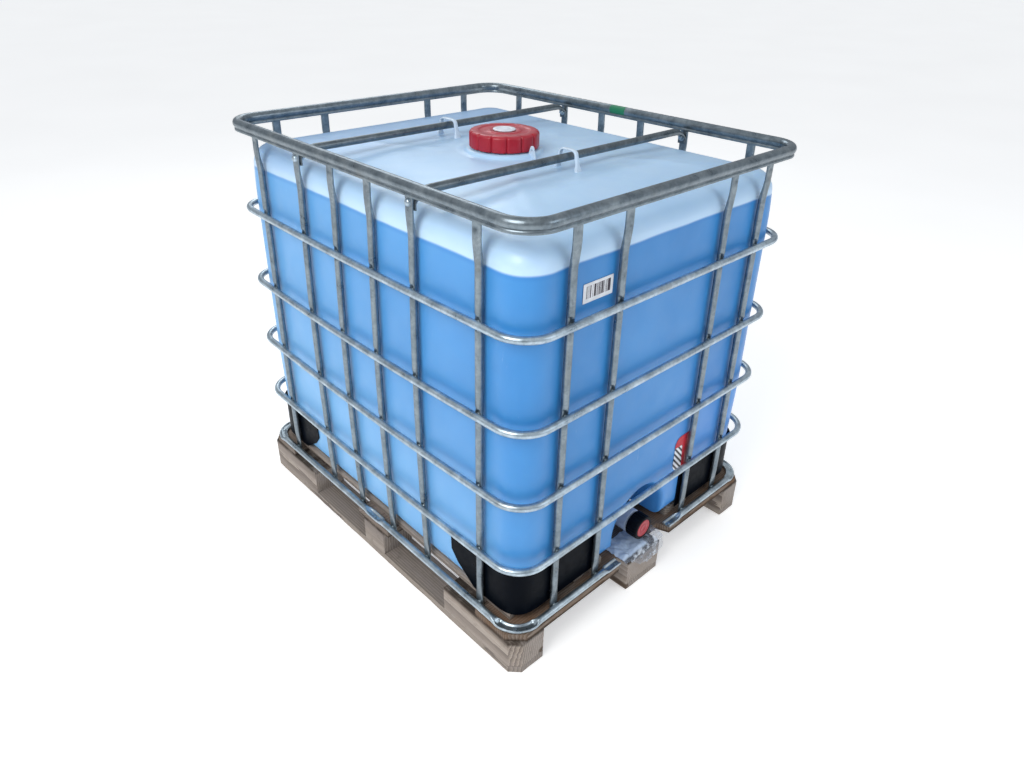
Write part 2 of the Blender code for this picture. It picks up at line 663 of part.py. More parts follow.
# ---------------------------------------------------------------- outlet valve
def make_valve():
    axis = (0, 0, VALVE_Z)
    out = (0, -1, 0)
    stub = -STUB_Y + GAP
    profile = [(VALVE_BORE, stub), (FLANGE_RADIUS, stub), (FLANGE_RADIUS, stub + 0.008),
               (BODY_RADIUS, stub + 0.012), (BODY_RADIUS, -BODY_FRONT_Y - 0.003),
               (BODY_RADIUS - 0.003, -BODY_FRONT_Y), (THREAD_RADIUS, -BODY_FRONT_Y),
               (THREAD_RADIUS, -THREAD_END_Y), (VALVE_BORE, -THREAD_END_Y)]
    points, faces = turned(profile, axis, out, 28)
    body = add_object("valve_body", points, faces, WHITE_PLASTIC)
    stem_axis = (0, STEM_Y, 0)
    up = (0, 0, 1)
    low = VALVE_Z + VALVE_BORE + 0.0035
    combine(body, cylinder("stem_boss", stem_axis, up, STEM_BOSS, low, STEM_TOP - 0.0005, 16), "UNION")
    combine(body, cylinder("stem_bore", stem_axis, up, STEM_RADIUS + GAP, VALVE_Z, 0.24, 12),
            "DIFFERENCE")

    disc = cylinder("valve_disc", (0, STEM_Y, VALVE_Z), out, VALVE_BORE - 0.0006, -0.002, 0.002, 24,
                    WHITE_PLASTIC)
    combine(disc, cylinder("stem", stem_axis, up, STEM_RADIUS, VALVE_Z - 0.012, STEM_TOP, 12), "UNION")

    make_lever()

    ring = [(VALVE_BORE, -THREAD_END_Y + GAP), (THREAD_RADIUS, -THREAD_END_Y + GAP),
            (THREAD_RADIUS, -OUTLET_PLATE_Y - GAP), (VALVE_BORE, -OUTLET_PLATE_Y - GAP)]
    points, faces = turned(ring, axis, out, 28)
    add_object("outlet_cap_gasket", points, faces, RUBBER, origin=axis)

    loops = []
    for radius, distance in ((OUTLET_CAP_INNER, -OUTLET_CAP_BACK_Y), (OUTLET_CAP_RADIUS, -OUTLET_CAP_BACK_Y),
                             (OUTLET_CAP_RADIUS, -OUTLET_CAP_FRONT_Y - 0.003),
                             (OUTLET_CAP_RADIUS - 0.003, -OUTLET_CAP_FRONT_Y),
                             (0.027, -OUTLET_CAP_FRONT_Y), (0.0265, -OUTLET_CAP_FRONT_Y - 0.002)):
        loops.append([(radius * math.cos(math.tau * k / 28), -distance,
                       VALVE_Z + radius * math.sin(math.tau * k / 28)) for k in range(28)])
    inner = [(OUTLET_CAP_INNER * math.cos(math.tau * k / 28), OUTLET_PLATE_Y,
              VALVE_Z + OUTLET_CAP_INNER * math.sin(math.tau * k / 28)) for k in range(28)]
    points, faces = loft([inner] + loops)
    add_object("outlet_cap", points, faces, BLACK_PLASTIC, origin=axis)


def make_lever():
    """The handle on top of the stem; it points to the left when the valve is shut."""
    hub = 0.0135
    low = STEM_TOP + GAP
    high = low + 0.0165
    outline = []
    steps = 8
    for step in range(steps + 1):
        angle = math.radians(-120 + 240 * step / steps)
        outline.append((hub * math.cos(angle), STEM_Y + hub * math.sin(angle)))
    outline += [(-LEVER_LENGTH + 0.006, STEM_Y + 0.0085), (-LEVER_LENGTH, STEM_Y + 0.004),
                (-LEVER_LENGTH, STEM_Y - 0.004), (-LEVER_LENGTH + 0.006, STEM_Y - 0.0085)]
    prism("valve_handle", outline, low, high, BLACK_PLASTIC, origin=(0, STEM_Y, low))


def main():
    clear_scene()
    make_pallet()
    make_rings()
    make_top_rail()
    make_bottom_rail()
    make_uprights()
    make_crossbar("crossbar_front", -BAR_Y)
    make_crossbar("crossbar_back", BAR_Y)
    make_bottle()
    make_protectors()
    make_fill_cap()
    make_valve()


main()
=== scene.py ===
"""Looks of the intermediate bulk container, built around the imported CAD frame.

Metres, in the CAD's frame: the origin is on the floor under the middle of the pallet, -Y is the
front with the outlet valve, +Z is up.
"""
import math
import random

import bmesh
import bpy
import numpy as np
from mathutils import Matrix, Vector, noise


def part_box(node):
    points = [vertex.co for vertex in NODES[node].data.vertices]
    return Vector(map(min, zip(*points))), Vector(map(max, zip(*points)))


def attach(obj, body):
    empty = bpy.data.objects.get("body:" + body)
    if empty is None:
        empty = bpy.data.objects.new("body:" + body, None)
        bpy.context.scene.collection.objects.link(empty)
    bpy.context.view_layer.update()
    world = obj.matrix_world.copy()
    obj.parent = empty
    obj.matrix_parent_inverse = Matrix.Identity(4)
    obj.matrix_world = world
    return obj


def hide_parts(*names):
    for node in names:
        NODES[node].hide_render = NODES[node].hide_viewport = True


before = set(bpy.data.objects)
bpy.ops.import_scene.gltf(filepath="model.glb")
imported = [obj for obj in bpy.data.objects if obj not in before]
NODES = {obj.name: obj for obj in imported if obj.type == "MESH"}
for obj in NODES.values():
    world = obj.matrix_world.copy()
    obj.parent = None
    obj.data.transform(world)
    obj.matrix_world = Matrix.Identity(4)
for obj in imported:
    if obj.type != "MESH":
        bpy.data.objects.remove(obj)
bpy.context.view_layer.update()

ROOT = "container"
UP = Vector((0, 0, 1))
SIDES = (("left", 0, -1, 6), ("right", 0, 1, 6), ("front", 1, -1, 4), ("back", 1, 1, 4))

# ---- the CAD's driving sizes that the pieces below follow ----
TUBE = 0.009
UPRIGHT_X = 0.476
UPRIGHT_Y = 0.576
RING_HALF_X = 0.488
RING_HALF_Y = 0.588
RING_RADIUS = 0.078
HEAD_SHIFT = 0.006
FOOT_SHIFT = 0.0013
FLAT_HALF = 0.0125
FLAT_THICK = 0.0032
HEAD_THICK = 0.0040
RAIL_RADIUS = 0.068
RAIL_END_X = 0.108
TOP_RAIL_HALF_X = 0.4855
TOP_RAIL_HALF_Y = 0.5855
TOP_RAIL_CORNER = 0.070
BOW = 0.012
BOW_END = 0.515
BOTTLE_HALF_X = 0.4632
BOTTLE_HALF_Y = 0.5632
BOTTLE_CORNER = 0.076
BOTTLE_SWELL = 0.009            # the full bottle rounds its corners out by this much
LIQUID_Z = 1.033
NECK_OUTER = 0.0775
NECK_INNER = 0.0725

RING_NAMES = ["cage_ring_" + str(k) for k in range(1, 5)]


def centre(node):
    low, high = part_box(node)
    return (low + high) / 2


RING_Z = [centre(name).z for name in RING_NAMES]
RAIL_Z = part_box("cage_bottom_rail")[0].z + TUBE
DECK_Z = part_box("deck_board_left_outer")[1].z
TOP_RAIL_LOW, TOP_RAIL_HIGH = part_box("cage_top_rail")[0].z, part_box("cage_top_rail")[1].z
RAIL_HALF_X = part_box("cage_bottom_rail")[1].x - TUBE
RAIL_HALF_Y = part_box("cage_bottom_rail")[1].y - TUBE
UPRIGHT_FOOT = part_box("upright_left_1")[0].z
UPRIGHT_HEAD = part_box("upright_left_1")[1].z
BOTTLE_FLOOR = DECK_Z + 0.0003
VALVE_Z = centre("outlet_cap").z
STEM_Y = centre("valve_disc").y
BAR_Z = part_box("crossbar_front")[1].z - 0.010


# ---------------------------------------------------------------- mesh helpers
def make_object(name, points, faces, material, sharp=40):
    mesh = bpy.data.meshes.new(name)
    mesh.from_pydata([tuple(p) for p in points], [], faces)
    work = bmesh.new()
    work.from_mesh(mesh)
    bmesh.ops.recalc_face_normals(work, faces=work.faces)
    work.to_mesh(mesh)
    work.free()
    return finish_object(name, mesh, material, sharp)


def finish_object(name, mesh, material, sharp=40):
    mesh.shade_smooth()
    mesh.set_sharp_from_angle(angle=math.radians(sharp))
    item = bpy.data.objects.new(name, mesh)
    bpy.context.scene.collection.objects.link(item)
    mesh.materials.append(material)
    return item


def place(item, body=ROOT, nodes=()):
    """Say which body a piece moves with, which CAD nodes it stands for."""
    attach(item, body)
    if nodes:
        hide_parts(*nodes)
    return item


def build(name, shape, material, sharp, body=ROOT, nodes=()):
    """A piece made from (points, faces) and placed."""
    return place(make_object(name, *shape, material, sharp), body, nodes)


def loft(loops, closed=False, caps=True):
    count = len(loops[0])
    points = [p for loop in loops for p in loop]
    faces = []
    last = len(loops) if closed else len(loops) - 1
    for i in range(last):
        a = i * count
        b = ((i + 1) % len(loops)) * count
        for k in range(count):
            n = (k + 1) % count
            faces.append((a + k, a + n, b + n, b + k))
    if caps and not closed:
        faces.append(tuple(range(count)))
        faces.append(tuple(range((len(loops) - 1) * count, len(loops) * count)))
    return points, faces


def merge(parts):
    """One list of points and faces from several."""
    points = []
    faces = []
    for some_points, some_faces in parts:
        start = len(points)
        points += list(some_points)
        faces += [tuple(i + start for i in face) for face in some_faces]
    return points, faces


def side_bow(y, z):
    if abs(y) >= BOW_END:
        return 0.0
    up = min(max((z - RAIL_Z) / (TOP_RAIL_LOW - RAIL_Z), 0.0), 1.0)
    return BOW * math.sin(math.pi * up) * (1.0 - (y / BOW_END) ** 2)


def rounded_outline(half_x, half_y, radius, corner_steps, long_stops, short_stops):
    """(x, y) points round a rectangle with round corners, anticlockwise from the +X side."""
    corners = ((1, 1, 0), (-1, 1, 90), (-1, -1, 180), (1, -1, 270))
    straight = {0: [(half_x, y) for y in sorted(long_stops)],
                1: [(x, half_y) for x in sorted(short_stops, reverse=True)],
                2: [(-half_x, y) for y in sorted(long_stops, reverse=True)],
                3: [(x, -half_y) for x in sorted(short_stops)]}
    points = []
    for index, (sx, sy, start) in enumerate(corners):
        points += straight[index]
        cx = sx * (half_x - radius)
        cy = sy * (half_y - radius)
        for step in range(corner_steps + 1):
            angle = math.radians(start + 90 * step / corner_steps)
            points.append((cx + radius * math.cos(angle), cy + radius * math.sin(angle)))
    return points


def power_round(value, power):
    return math.copysign(abs(value) ** (2.0 / power), value)


def sweep(path, axis, shapes, closed=False, around=24, dent=None):
    """A tube along a flat path. A shape is half width across the path's plane normal, half height
    along axis, two offsets and the roundness power; dent(i, angle) presses the surface in."""
    axis = Vector(axis)
    loops = []
    count = len(path)
    for i, point in enumerate(path):
        before = path[i - 1] if closed or i > 0 else point
        after = path[(i + 1) % count] if closed or i < count - 1 else point
        normal = axis.cross((after - before).normalized()).normalized()
        half_n, half_a, off_n, off_a, power = shapes[i]
        loop = []
        for k in range(around):
            angle = math.tau * k / around
            n = half_n * power_round(math.cos(angle), power)
            a = half_a * power_round(math.sin(angle), power)
            if dent:
                press = dent(i, angle)
                n -= press * math.cos(angle)
                a -= press * math.sin(angle)
            loop.append(point + normal * (n + off_n) + axis * (a + off_a))
        loops.append(loop)
    return loft(loops, closed)


def turned(profile, origin, axis, segments, closed=True, wave=None):
    """A profile of (radius, distance along the axis) turned round; wave(angle, i) changes a radius."""
    axis = Vector(axis)
    first = Vector((1, 0, 0)) if abs(axis.x) < 0.5 else Vector((0, 1, 0))
    second = axis.cross(first)
    loops = []
    for i, (radius, distance) in enumerate(profile):
        loop = []
        for k in range(segments):
            angle = math.tau * k / segments
            r = radius + (wave(angle, i) if wave else 0.0)
            loop.append(Vector(origin) + (first * math.cos(angle) + second * math.sin(angle)) * r
                        + axis * distance)
        loops.append(loop)
    if closed:
        loops.append(loops[0])
        points, faces = loft(loops, caps=False)
        # join the last loop to the first
        count = segments
        start = (len(loops) - 1) * count
        faces = [tuple(i - start if i >= start else i for i in face) for face in faces]
        return points[:start], faces
    return loft(loops)


def fillet(points, radius, steps=3):
    """Rounds the inner corners of an open line of (a, b) points."""
    result = [points[0]]
    for before, here, after in zip(points, points[1:], points[2:]):
        here_v = Vector(here)
        to_before = Vector(before) - here_v
        to_after = Vector(after) - here_v
        reach = min(radius, 0.45 * to_before.length, 0.45 * to_after.length)
        start = here_v + to_before.normalized() * reach
        end = here_v + to_after.normalized() * reach
        for k in range(steps + 1):
            t = k / steps
            point = start * (1 - t) ** 2 + here_v * 2 * t * (1 - t) + end * t ** 2
            result.append((point.x, point.y))
    result.append(points[-1])
    return result


def smooth_values(values, width):
    """A running mean, twice, with the ends held."""
    values = np.asarray(values, float)
    for _ in range(2):
        padded = np.concatenate([np.full(width, values[0]), values, np.full(width, values[-1])])
        kernel = np.ones(2 * width + 1) / (2 * width + 1)
        values = np.convolve(padded, kernel, mode="same")[width:-width]
    return values


# ---------------------------------------------------------------- material helpers
class Look:
    """A small wrapper that adds nodes to one material."""

    def __init__(self, name):
        self.material = bpy.data.materials.new(name)
        self.material.use_nodes = True
        self.tree = self.material.node_tree
        self.shader = self.tree.nodes["Principled BSDF"]
        self.coords = self.tree.nodes.new("ShaderNodeTexCoord").outputs["Object"]

    def node(self, kind, **settings):
        made = self.tree.nodes.new("ShaderNode" + kind)
        for key, value in settings.items():
            setattr(made, key, value)
        return made

    def link(self, output, target):
        self.tree.links.new(output, target)

    def mapping(self, scale=(1, 1, 1), location=(0, 0, 0), rotation=(0, 0, 0)):
        made = self.node("Mapping")
        made.inputs["Scale"].default_value = scale
        made.inputs["Location"].default_value = location
        made.inputs["Rotation"].default_value = rotation
        self.link(self.coords, made.inputs["Vector"])
        return made.outputs["Vector"]

    def noise(self, scale, detail=3.0, rough=0.5, vector=None, distortion=0.0):
        made = self.node("TexNoise")
        made.inputs["Scale"].default_value = scale
        made.inputs["Detail"].default_value = detail
        made.inputs["Roughness"].default_value = rough
        made.inputs["Distortion"].default_value = distortion
        self.link(vector or self.coords, made.inputs["Vector"])
        return made.outputs["Fac"]

    def voronoi(self, scale, vector=None, feature="F1", output="Distance"):
        made = self.node("TexVoronoi", feature=feature)
        made.inputs["Scale"].default_value = scale
        self.link(vector or self.coords, made.inputs["Vector"])
        return made.outputs[output]

    def ramp(self, value, stops):
        """stops is a list of (position, colour or grey)."""
        made = self.node("ValToRGB")
        elements = made.color_ramp.elements
        while len(elements) < len(stops):
            elements.new(0.5)
        for element, (position, colour) in zip(elements, stops):
            element.position = position
            grey = not isinstance(colour, tuple)
            element.color = (colour, colour, colour, 1) if grey else (*colour, 1)
        self.link(value, made.inputs["Fac"])
        return made.outputs["Color"]

    def remap(self, value, low, high, to_low=0.0, to_high=1.0, smooth=True):
        made = self.node("MapRange")
        made.interpolation_type = "SMOOTHSTEP" if smooth else "LINEAR"
        for key, number in (("From Min", low), ("From Max", high), ("To Min", to_low),
                            ("To Max", to_high)):
            made.inputs[key].default_value = number
        self.link(value, made.inputs["Value"])
        return made.outputs["Result"]

    def maths(self, operation, first, second=None):
        made = self.node("Math", operation=operation)
        for index, value in enumerate((first, second)):
            if value is None:
                continue
            if isinstance(value, (int, float)):
                made.inputs[index].default_value = value
            else:
                self.link(value, made.inputs[index])
        return made.outputs["Value"]

    def times(self, first, second):
        return self.maths("MULTIPLY", first, second)

    def mix(self, factor, first, second, blend="MIX"):
        made = self.node("Mix", data_type="RGBA", blend_type=blend)
        if isinstance(factor, (int, float)):
            made.inputs["Factor"].default_value = factor
        else:
            self.link(factor, made.inputs["Factor"])
        for index, value in ((6, first), (7, second)):
            if isinstance(value, tuple):
                made.inputs[index].default_value = (*value, 1)
            else:
                self.link(value, made.inputs[index])
        return made.outputs[2]

    def axis(self, name, vector=None):
        made = self.node("SeparateXYZ")
        self.link(vector or self.coords, made.inputs["Vector"])
        return made.outputs[name]

    def facing_up(self):
        made = self.node("SeparateXYZ")
        geometry = self.node("NewGeometry")
        self.link(geometry.outputs["Normal"], made.inputs["Vector"])
        return made.outputs["Z"]

    def bump(self, height, strength, distance):
        made = self.node("Bump")
        made.inputs["Strength"].default_value = strength
        made.inputs["Distance"].default_value = distance
        self.link(height, made.inputs["Height"])
        self.link(made.outputs["Normal"], self.shader.inputs["Normal"])

    def put(self, name, value):
        """A constant or a node's output on one of the shader's sockets."""
        socket = self.shader.inputs[name]
        if isinstance(value, (int, float)):
            socket.default_value = value
        elif isinstance(value, tuple):
            socket.default_value = (*value, 1) if len(value) == 3 and socket.type == "RGBA" else value
        else:
            self.link(value, socket)


# ---------------------------------------------------------------- materials
def galvanised(name, tone=1.0, grime=0.35):
    look = Look(name)
    cells = look.voronoi(150, output="Color")
    cell_grey = look.node("RGBToBW")
    look.link(cells, cell_grey.inputs["Color"])
    cloud = look.noise(26, 5, 0.62)
    fine = look.noise(320, 3, 0.55)
    light = tuple(tone * c for c in (0.475, 0.560, 0.620))
    dark = tuple(tone * c for c in (0.225, 0.290, 0.345))
    colour = look.ramp(cloud, [(0.30, dark), (0.66, light)])
    spangle = look.remap(cell_grey.outputs["Val"], 0.0, 1.0, 0.82, 1.08)
    colour = look.mix(1.0, colour, look.ramp(spangle, [(0.0, 0.0), (1.0, 1.0)]), "MULTIPLY")
    stain = look.remap(look.noise(9, 4, 0.7), 0.52, 0.75, 0.0, grime)
    colour = look.mix(stain, colour, (0.24, 0.22, 0.18))
    low = look.remap(look.axis("Z"), 0.12, 0.30, 0.30, 0.0)
    colour = look.mix(look.times(low, look.noise(45, 3)), colour, (0.20, 0.17, 0.13))
    look.put("Base Color", colour)
    look.put("Metallic", 0.88)
    look.put("Roughness", look.remap(cloud, 0.25, 0.8, 0.26, 0.44))
    height = look.maths("ADD", fine, look.times(cell_grey.outputs["Val"], 0.6))
    look.bump(height, 0.20, 0.0006)
    return look.material


def bottle_plastic():
    """Milky polyethylene, with the blue liquid showing through up to its level."""
    look = Look("bottle_polyethylene")
    height = look.axis("Z")
    ripple = look.remap(look.noise(6, 2), 0.3, 0.7, -0.0012, 0.0012)
    level = look.maths("ADD", height, ripple)
    below = look.remap(level, LIQUID_Z + 0.0035, LIQUID_Z - 0.0035, 0.0, 1.0)
    cloud = look.noise(2.6, 4, 0.55)
    blue = look.ramp(cloud, [(0.28, (0.028, 0.212, 0.540)), (0.52, (0.042, 0.256, 0.620)),
                             (0.76, (0.064, 0.300, 0.680))])
    side = look.axis("X")
    along = look.axis("Y")
    # Painted reflection: the left side of the liquid blue is paled towards a light blue, more towards the back and
    # the bottom and less at the front corner, for the sky's sheen on the wall.
    left = look.remap(side, -0.36, -0.46)
    far = look.remap(along, -0.50, 0.45, 0.12, 0.62)
    low = look.remap(height, 0.75, 0.22, 0.0, 0.62)
    painted_sheen = look.times(left, look.maths("ADD", far, low))
    painted_sheen = look.times(painted_sheen, look.remap(along, -0.54, -0.44, 0.1, 1.0))
    blue = look.mix(painted_sheen, blue, (0.200, 0.480, 0.830))
    right_low = look.times(look.remap(side, -0.05, 0.30), look.remap(height, 0.75, 0.30))
    blue = look.mix(look.times(right_low, 0.40), blue, (0.120, 0.330, 0.860))
    pale = look.ramp(look.noise(5.0, 3, 0.5),
                     [(0.30, (0.400, 0.610, 0.850)), (0.70, (0.480, 0.680, 0.900))])
    # Painted shade: the pale part above the liquid is darkened towards the back.
    pale = look.mix(look.remap(along, 0.02, 0.52, 0.0, 0.55), pale, (0.230, 0.400, 0.680))
    glow = look.remap(height, LIQUID_Z, LIQUID_Z + 0.045, 0.55, 0.0)
    pale = look.mix(glow, pale, (0.60, 0.78, 0.97))
    colour = look.mix(below, pale, blue)
    line = look.times(look.remap(level, LIQUID_Z - 0.014, LIQUID_Z - 0.004, 0.0, 0.30),
                      below)
    colour = look.mix(line, colour, (0.030, 0.200, 0.560))
    scuff = look.remap(look.noise(70, 4, 0.7, look.mapping((1, 1, 0.25))), 0.66, 0.80, 0.0, 0.16)
    colour = look.mix(scuff, colour, (0.60, 0.74, 0.92))
    look.put("Base Color", colour)
    look.put("Roughness", look.remap(look.noise(18, 3), 0.3, 0.7, 0.30, 0.42))
    look.put("Subsurface Weight", 0.16)
    look.put("Subsurface Radius", (0.020, 0.028, 0.040))
    look.put("Subsurface Scale", 0.6)
    look.put("Specular IOR Level", 0.5)
    look.bump(look.noise(14, 4, 0.55), 0.16, 0.004)
    return look.material


def moulded(name, colour, roughness=0.4, dust=0.0, dust_colour=(0.30, 0.30, 0.30), grain=420, gloss=0.5):
    """Moulded plastic with a slight grain, uneven gloss and dust on what faces up."""
    look = Look(name)
    shade = tuple(0.78 * c for c in colour)
    base = look.ramp(look.noise(22, 4, 0.6), [(0.30, shade), (0.70, colour)])
    if dust:
        patches = look.remap(look.noise(34, 5, 0.7), 0.35, 0.75, 0.0, dust)
        up = look.remap(look.facing_up(), 0.1, 0.9, 0.25, 1.0)
        base = look.mix(look.times(patches, up), base, dust_colour)
    look.put("Base Color", base)
    look.put("Roughness", look.remap(look.noise(60, 3), 0.25, 0.75, roughness - 0.07, roughness + 0.10))
    look.put("Specular IOR Level", gloss)
    look.put("IOR", 1.5 if gloss >= 0.5 else 1.3)
    look.bump(look.noise(grain, 2, 0.5), 0.10, 0.0004)
    return look.material


def wood(name, grain, seed, tone, wet=0.0):
    """Sawn softwood: growth rings about the grain, fibres, knots, weathering and saw marks."""
    look = Look(name)
    turn = {"X": (0, math.radians(90), 0), "Y": (math.radians(90), 0, 0)}[grain]
    draw = random.Random(seed)
    shift = (draw.uniform(0.06, 0.12) * draw.choice((-1, 1)), draw.uniform(-0.05, 0.05),
             draw.uniform(-3, 3))
    rotated = look.mapping(rotation=turn, location=shift)
    stretch = look.node("Mapping")
    stretch.inputs["Scale"].default_value = (1.0, 1.0, 0.055)
    look.link(rotated, stretch.inputs["Vector"])
    along = stretch.outputs["Vector"]
    rings = look.node("TexWave", wave_type="RINGS", rings_direction="Z", wave_profile="SAW")
    rings.inputs["Scale"].default_value = draw.uniform(34, 50)
    rings.inputs["Distortion"].default_value = 3.2
    rings.inputs["Detail"].default_value = 3.0
    rings.inputs["Detail Scale"].default_value = 1.4
    look.link(along, rings.inputs["Vector"])
    fibre = look.noise(620, 4, 0.6, along)
    patch = look.noise(7, 4, 0.6, along)
    light = tuple(tone * c for c in (0.40, 0.340, 0.285))
    middle = tuple(tone * c for c in (0.22, 0.180, 0.148))
    dark = tuple(tone * c for c in (0.085, 0.060, 0.044))
    colour = look.ramp(rings.outputs["Fac"], [(0.05, light), (0.60, middle), (0.95, dark)])
    colour = look.mix(look.remap(fibre, 0.35, 0.75, 0.0, 0.55), colour, dark)
    grey = look.remap(patch, 0.30, 0.68, 0.15, 0.85)
    weather = look.times(grey, look.remap(look.facing_up(), -0.4, 0.6, 0.55, 1.0))
    colour = look.mix(look.times(weather, 1.0 - wet), colour,
                      tuple(tone * c for c in (0.345, 0.310, 0.290)))
    if wet:
        colour = look.mix(look.remap(look.noise(11, 3), 0.3, 0.7, 0.2 * wet, wet), colour,
                          (0.155, 0.078, 0.036))
    # Painted shade: a near-black band within about 10 mm of z 0.1005, where the blocks meet the cross boards,
    # stands in for the shadow in the gap between them; noise breaks it up.
    painted_gap_shade = look.remap(look.maths("ABSOLUTE", look.maths("SUBTRACT", look.axis("Z"), 0.1005)), 0.0105,
                       0.0020)
    painted_gap_shade = look.times(painted_gap_shade, look.remap(look.noise(24, 4, 0.7), 0.28, 0.55, 0.35, 1.0))
    colour = look.mix(look.times(painted_gap_shade, 0.85), colour, (0.030, 0.020, 0.014))
    knot = look.voronoi(13, along)
    colour = look.mix(look.remap(knot, 0.16, 0.07, 0.0, 0.85), colour, (0.075, 0.048, 0.030))
    dirt = look.remap(look.noise(28, 5, 0.75), 0.55, 0.78, 0.0, 0.55)
    colour = look.mix(dirt, colour, (0.085, 0.068, 0.052))
    look.put("Base Color", colour)
    look.put("Roughness", look.remap(fibre, 0.2, 0.8, 0.72, 0.95))
    look.put("Specular IOR Level", 0.25)
    across = look.mapping({"X": (1, 0.15, 0.15), "Y": (0.15, 1, 0.15)}[grain])
    saw = look.noise(230, 2, 0.5, across)
    height = look.maths("ADD", fibre, look.times(rings.outputs["Fac"], 0.5))
    look.bump(look.maths("ADD", height, look.times(saw, 0.5)), 0.55, 0.0016)
    return look.material


STEEL = galvanised("galvanised_steel", 1.22)
STEEL_UPRIGHT = galvanised("galvanised_upright", 0.62, 0.28)
STEEL_RAIL = galvanised("galvanised_rail", 0.58, 0.30)
STEEL_BAR = galvanised("galvanised_crossbar", 0.42, 0.20)
STEEL_BRIGHT = galvanised("zinc_plated_fixing", 1.25, 0.15)
BOTTLE = bottle_plastic()
BLACK_SHELL = moulded("black_shell_plastic", (0.0016, 0.0030, 0.0062), 0.34, 0.02, (0.04, 0.045, 0.06),
                      gloss=0.08)
BLACK = moulded("black_valve_plastic", (0.0040, 0.0050, 0.0080), 0.34, 0.03, (0.06, 0.06, 0.07),
                gloss=0.15)
RED = moulded("red_cap_plastic", (0.420, 0.008, 0.024), 0.36, 0.14, (0.46, 0.16, 0.24), 300)
WHITE = moulded("white_vent_plastic", (0.80, 0.85, 0.94), 0.42, 0.30, (0.42, 0.45, 0.52))
MILKY = moulded("milky_valve_plastic", (0.46, 0.54, 0.68), 0.40, 0.15, (0.35, 0.38, 0.45))
RUBBER = moulded("seal_rubber_look", (0.035, 0.035, 0.038), 0.65, 0.10)
TAPE = moulded("green_tape", (0.010, 0.200, 0.095), 0.45, 0.12, (0.10, 0.28, 0.20))


# ---------------------------------------------------------------- cage
NOTCH_DEPTH = 0.0072             # how far the rings are pressed into the uprights
NOTCH_FLAT = 0.0050
NOTCH_RUN = 0.0150
PIT_DEPTH = 0.0058               # the press also leaves a pit beside the notch, above each ring
PIT_RISE = 0.0190
PIT_TURN = 0.80


def smoothstep(value, low, high):
    t = min(max((value - low) / (high - low), 0.0), 1.0)
    return t * t * (3 - 2 * t)


def upright_press(heights, side):
    """Presses the outer wall in where each ring lies; the walls beside the notch fold outwards."""
    def press(i, angle):
        z = heights[i]
        signed = (angle + math.pi) % math.tau - math.pi
        turn = abs(signed)
        total = 0.0
        for ring in RING_Z:
            away = abs(z - ring)
            if away > NOTCH_FLAT + NOTCH_RUN:
                continue
            deep = 1.0 - smoothstep(away, NOTCH_FLAT, NOTCH_FLAT + NOTCH_RUN)
            total += NOTCH_DEPTH * deep * (1.0 - smoothstep(turn, 0.62, 1.12))
            total -= 0.0013 * deep * math.exp(-((turn - 1.42) / 0.30) ** 2)
            aside = (signed - side * PIT_TURN) / 0.34
            total += PIT_DEPTH * math.exp(-((z - ring - PIT_RISE) / 0.0080) ** 2 - aside ** 2)
        for at, depth, reach in ((UPRIGHT_HEAD - 0.014, 0.0024, 0.0060),
                                 (UPRIGHT_FOOT + 0.012, 0.0016, 0.0060)):
            if abs(z - at) < 3 * reach:
                total += depth * math.exp(-((z - at) / reach) ** 2 - (turn / 0.5) ** 2)
        return total
    return press


def make_upright(name, side_axis, sign, stop):
    """One upright, with its bends, its pressed ends and the press marks at the rings."""
    long_side = side_axis == "X"
    base = UPRIGHT_X if long_side else UPRIGHT_Y
    fine = [np.arange(ring - 0.024, ring + 0.0241, 0.0024) for ring in RING_Z]
    ends = [np.arange(UPRIGHT_FOOT, 0.200, 0.004), np.arange(1.020, UPRIGHT_HEAD, 0.003), [UPRIGHT_HEAD]]
    z = np.sort(np.concatenate(fine + ends + [np.arange(0.215, 1.010, 0.013)]))
    z = z[np.concatenate([[True], np.diff(z) > 0.0009])]
    keys_z = [UPRIGHT_FOOT, 0.150, 0.190, 1.036, 1.072, 1.088, UPRIGHT_HEAD]
    out = np.interp(z, keys_z, [base + FOOT_SHIFT] * 2 + [base] * 2
                    + [base + HEAD_SHIFT * 0.8] + [base + HEAD_SHIFT] * 2)
    thick = np.interp(z, keys_z, [FLAT_THICK, FLAT_THICK, TUBE, TUBE, 0.0048, HEAD_THICK, HEAD_THICK])
    wide = np.interp(z, keys_z, [FLAT_HALF, FLAT_HALF, TUBE, TUBE, 0.0118, FLAT_HALF, FLAT_HALF])
    out, thick, wide = (smooth_values(v, 1) for v in (out, thick, wide))
    wobble = random.Random(name)
    phase = wobble.uniform(0, math.tau)
    path = []
    shapes = []
    for i, height in enumerate(z):
        lean = 0.0008 * math.sin(5.5 * height + phase)
        reach = out[i] + (side_bow(stop, height) if long_side else 0.0)
        point = (sign * reach, stop + lean, height) if long_side else (stop + lean, sign * reach, height)
        path.append(Vector(point))
        power = 2.0 + 1.2 * (1 - (thick[i] - FLAT_THICK) / (TUBE - FLAT_THICK))
        shapes.append((thick[i], wide[i], 0.0, 0.0, power))
    # the section's normal is axis x up; it has to point out of the cage
    axis = Vector((0, 1, 0)) if long_side else Vector((-1, 0, 0))
    outward = axis.cross(UP)
    facing = outward.x * sign if long_side else outward.y * sign
    if facing < 0:
        axis = -axis
    build(name + "_tube", sweep(path, axis, shapes, around=30, dent=upright_press(z, sign)),
          STEEL_UPRIGHT, 60, nodes=(name,))


def make_uprights():
    for side, axis, sign, count in (("left", "X", -1, 6), ("right", "X", 1, 6),
                                    ("front", "Y", -1, 4), ("back", "Y", 1, 4)):
        for number in range(1, count + 1):
            name = "upright_" + side + "_" + str(number)
            middle = centre(name)
            make_upright(name, axis, sign, middle.y if axis == "X" else middle.x)


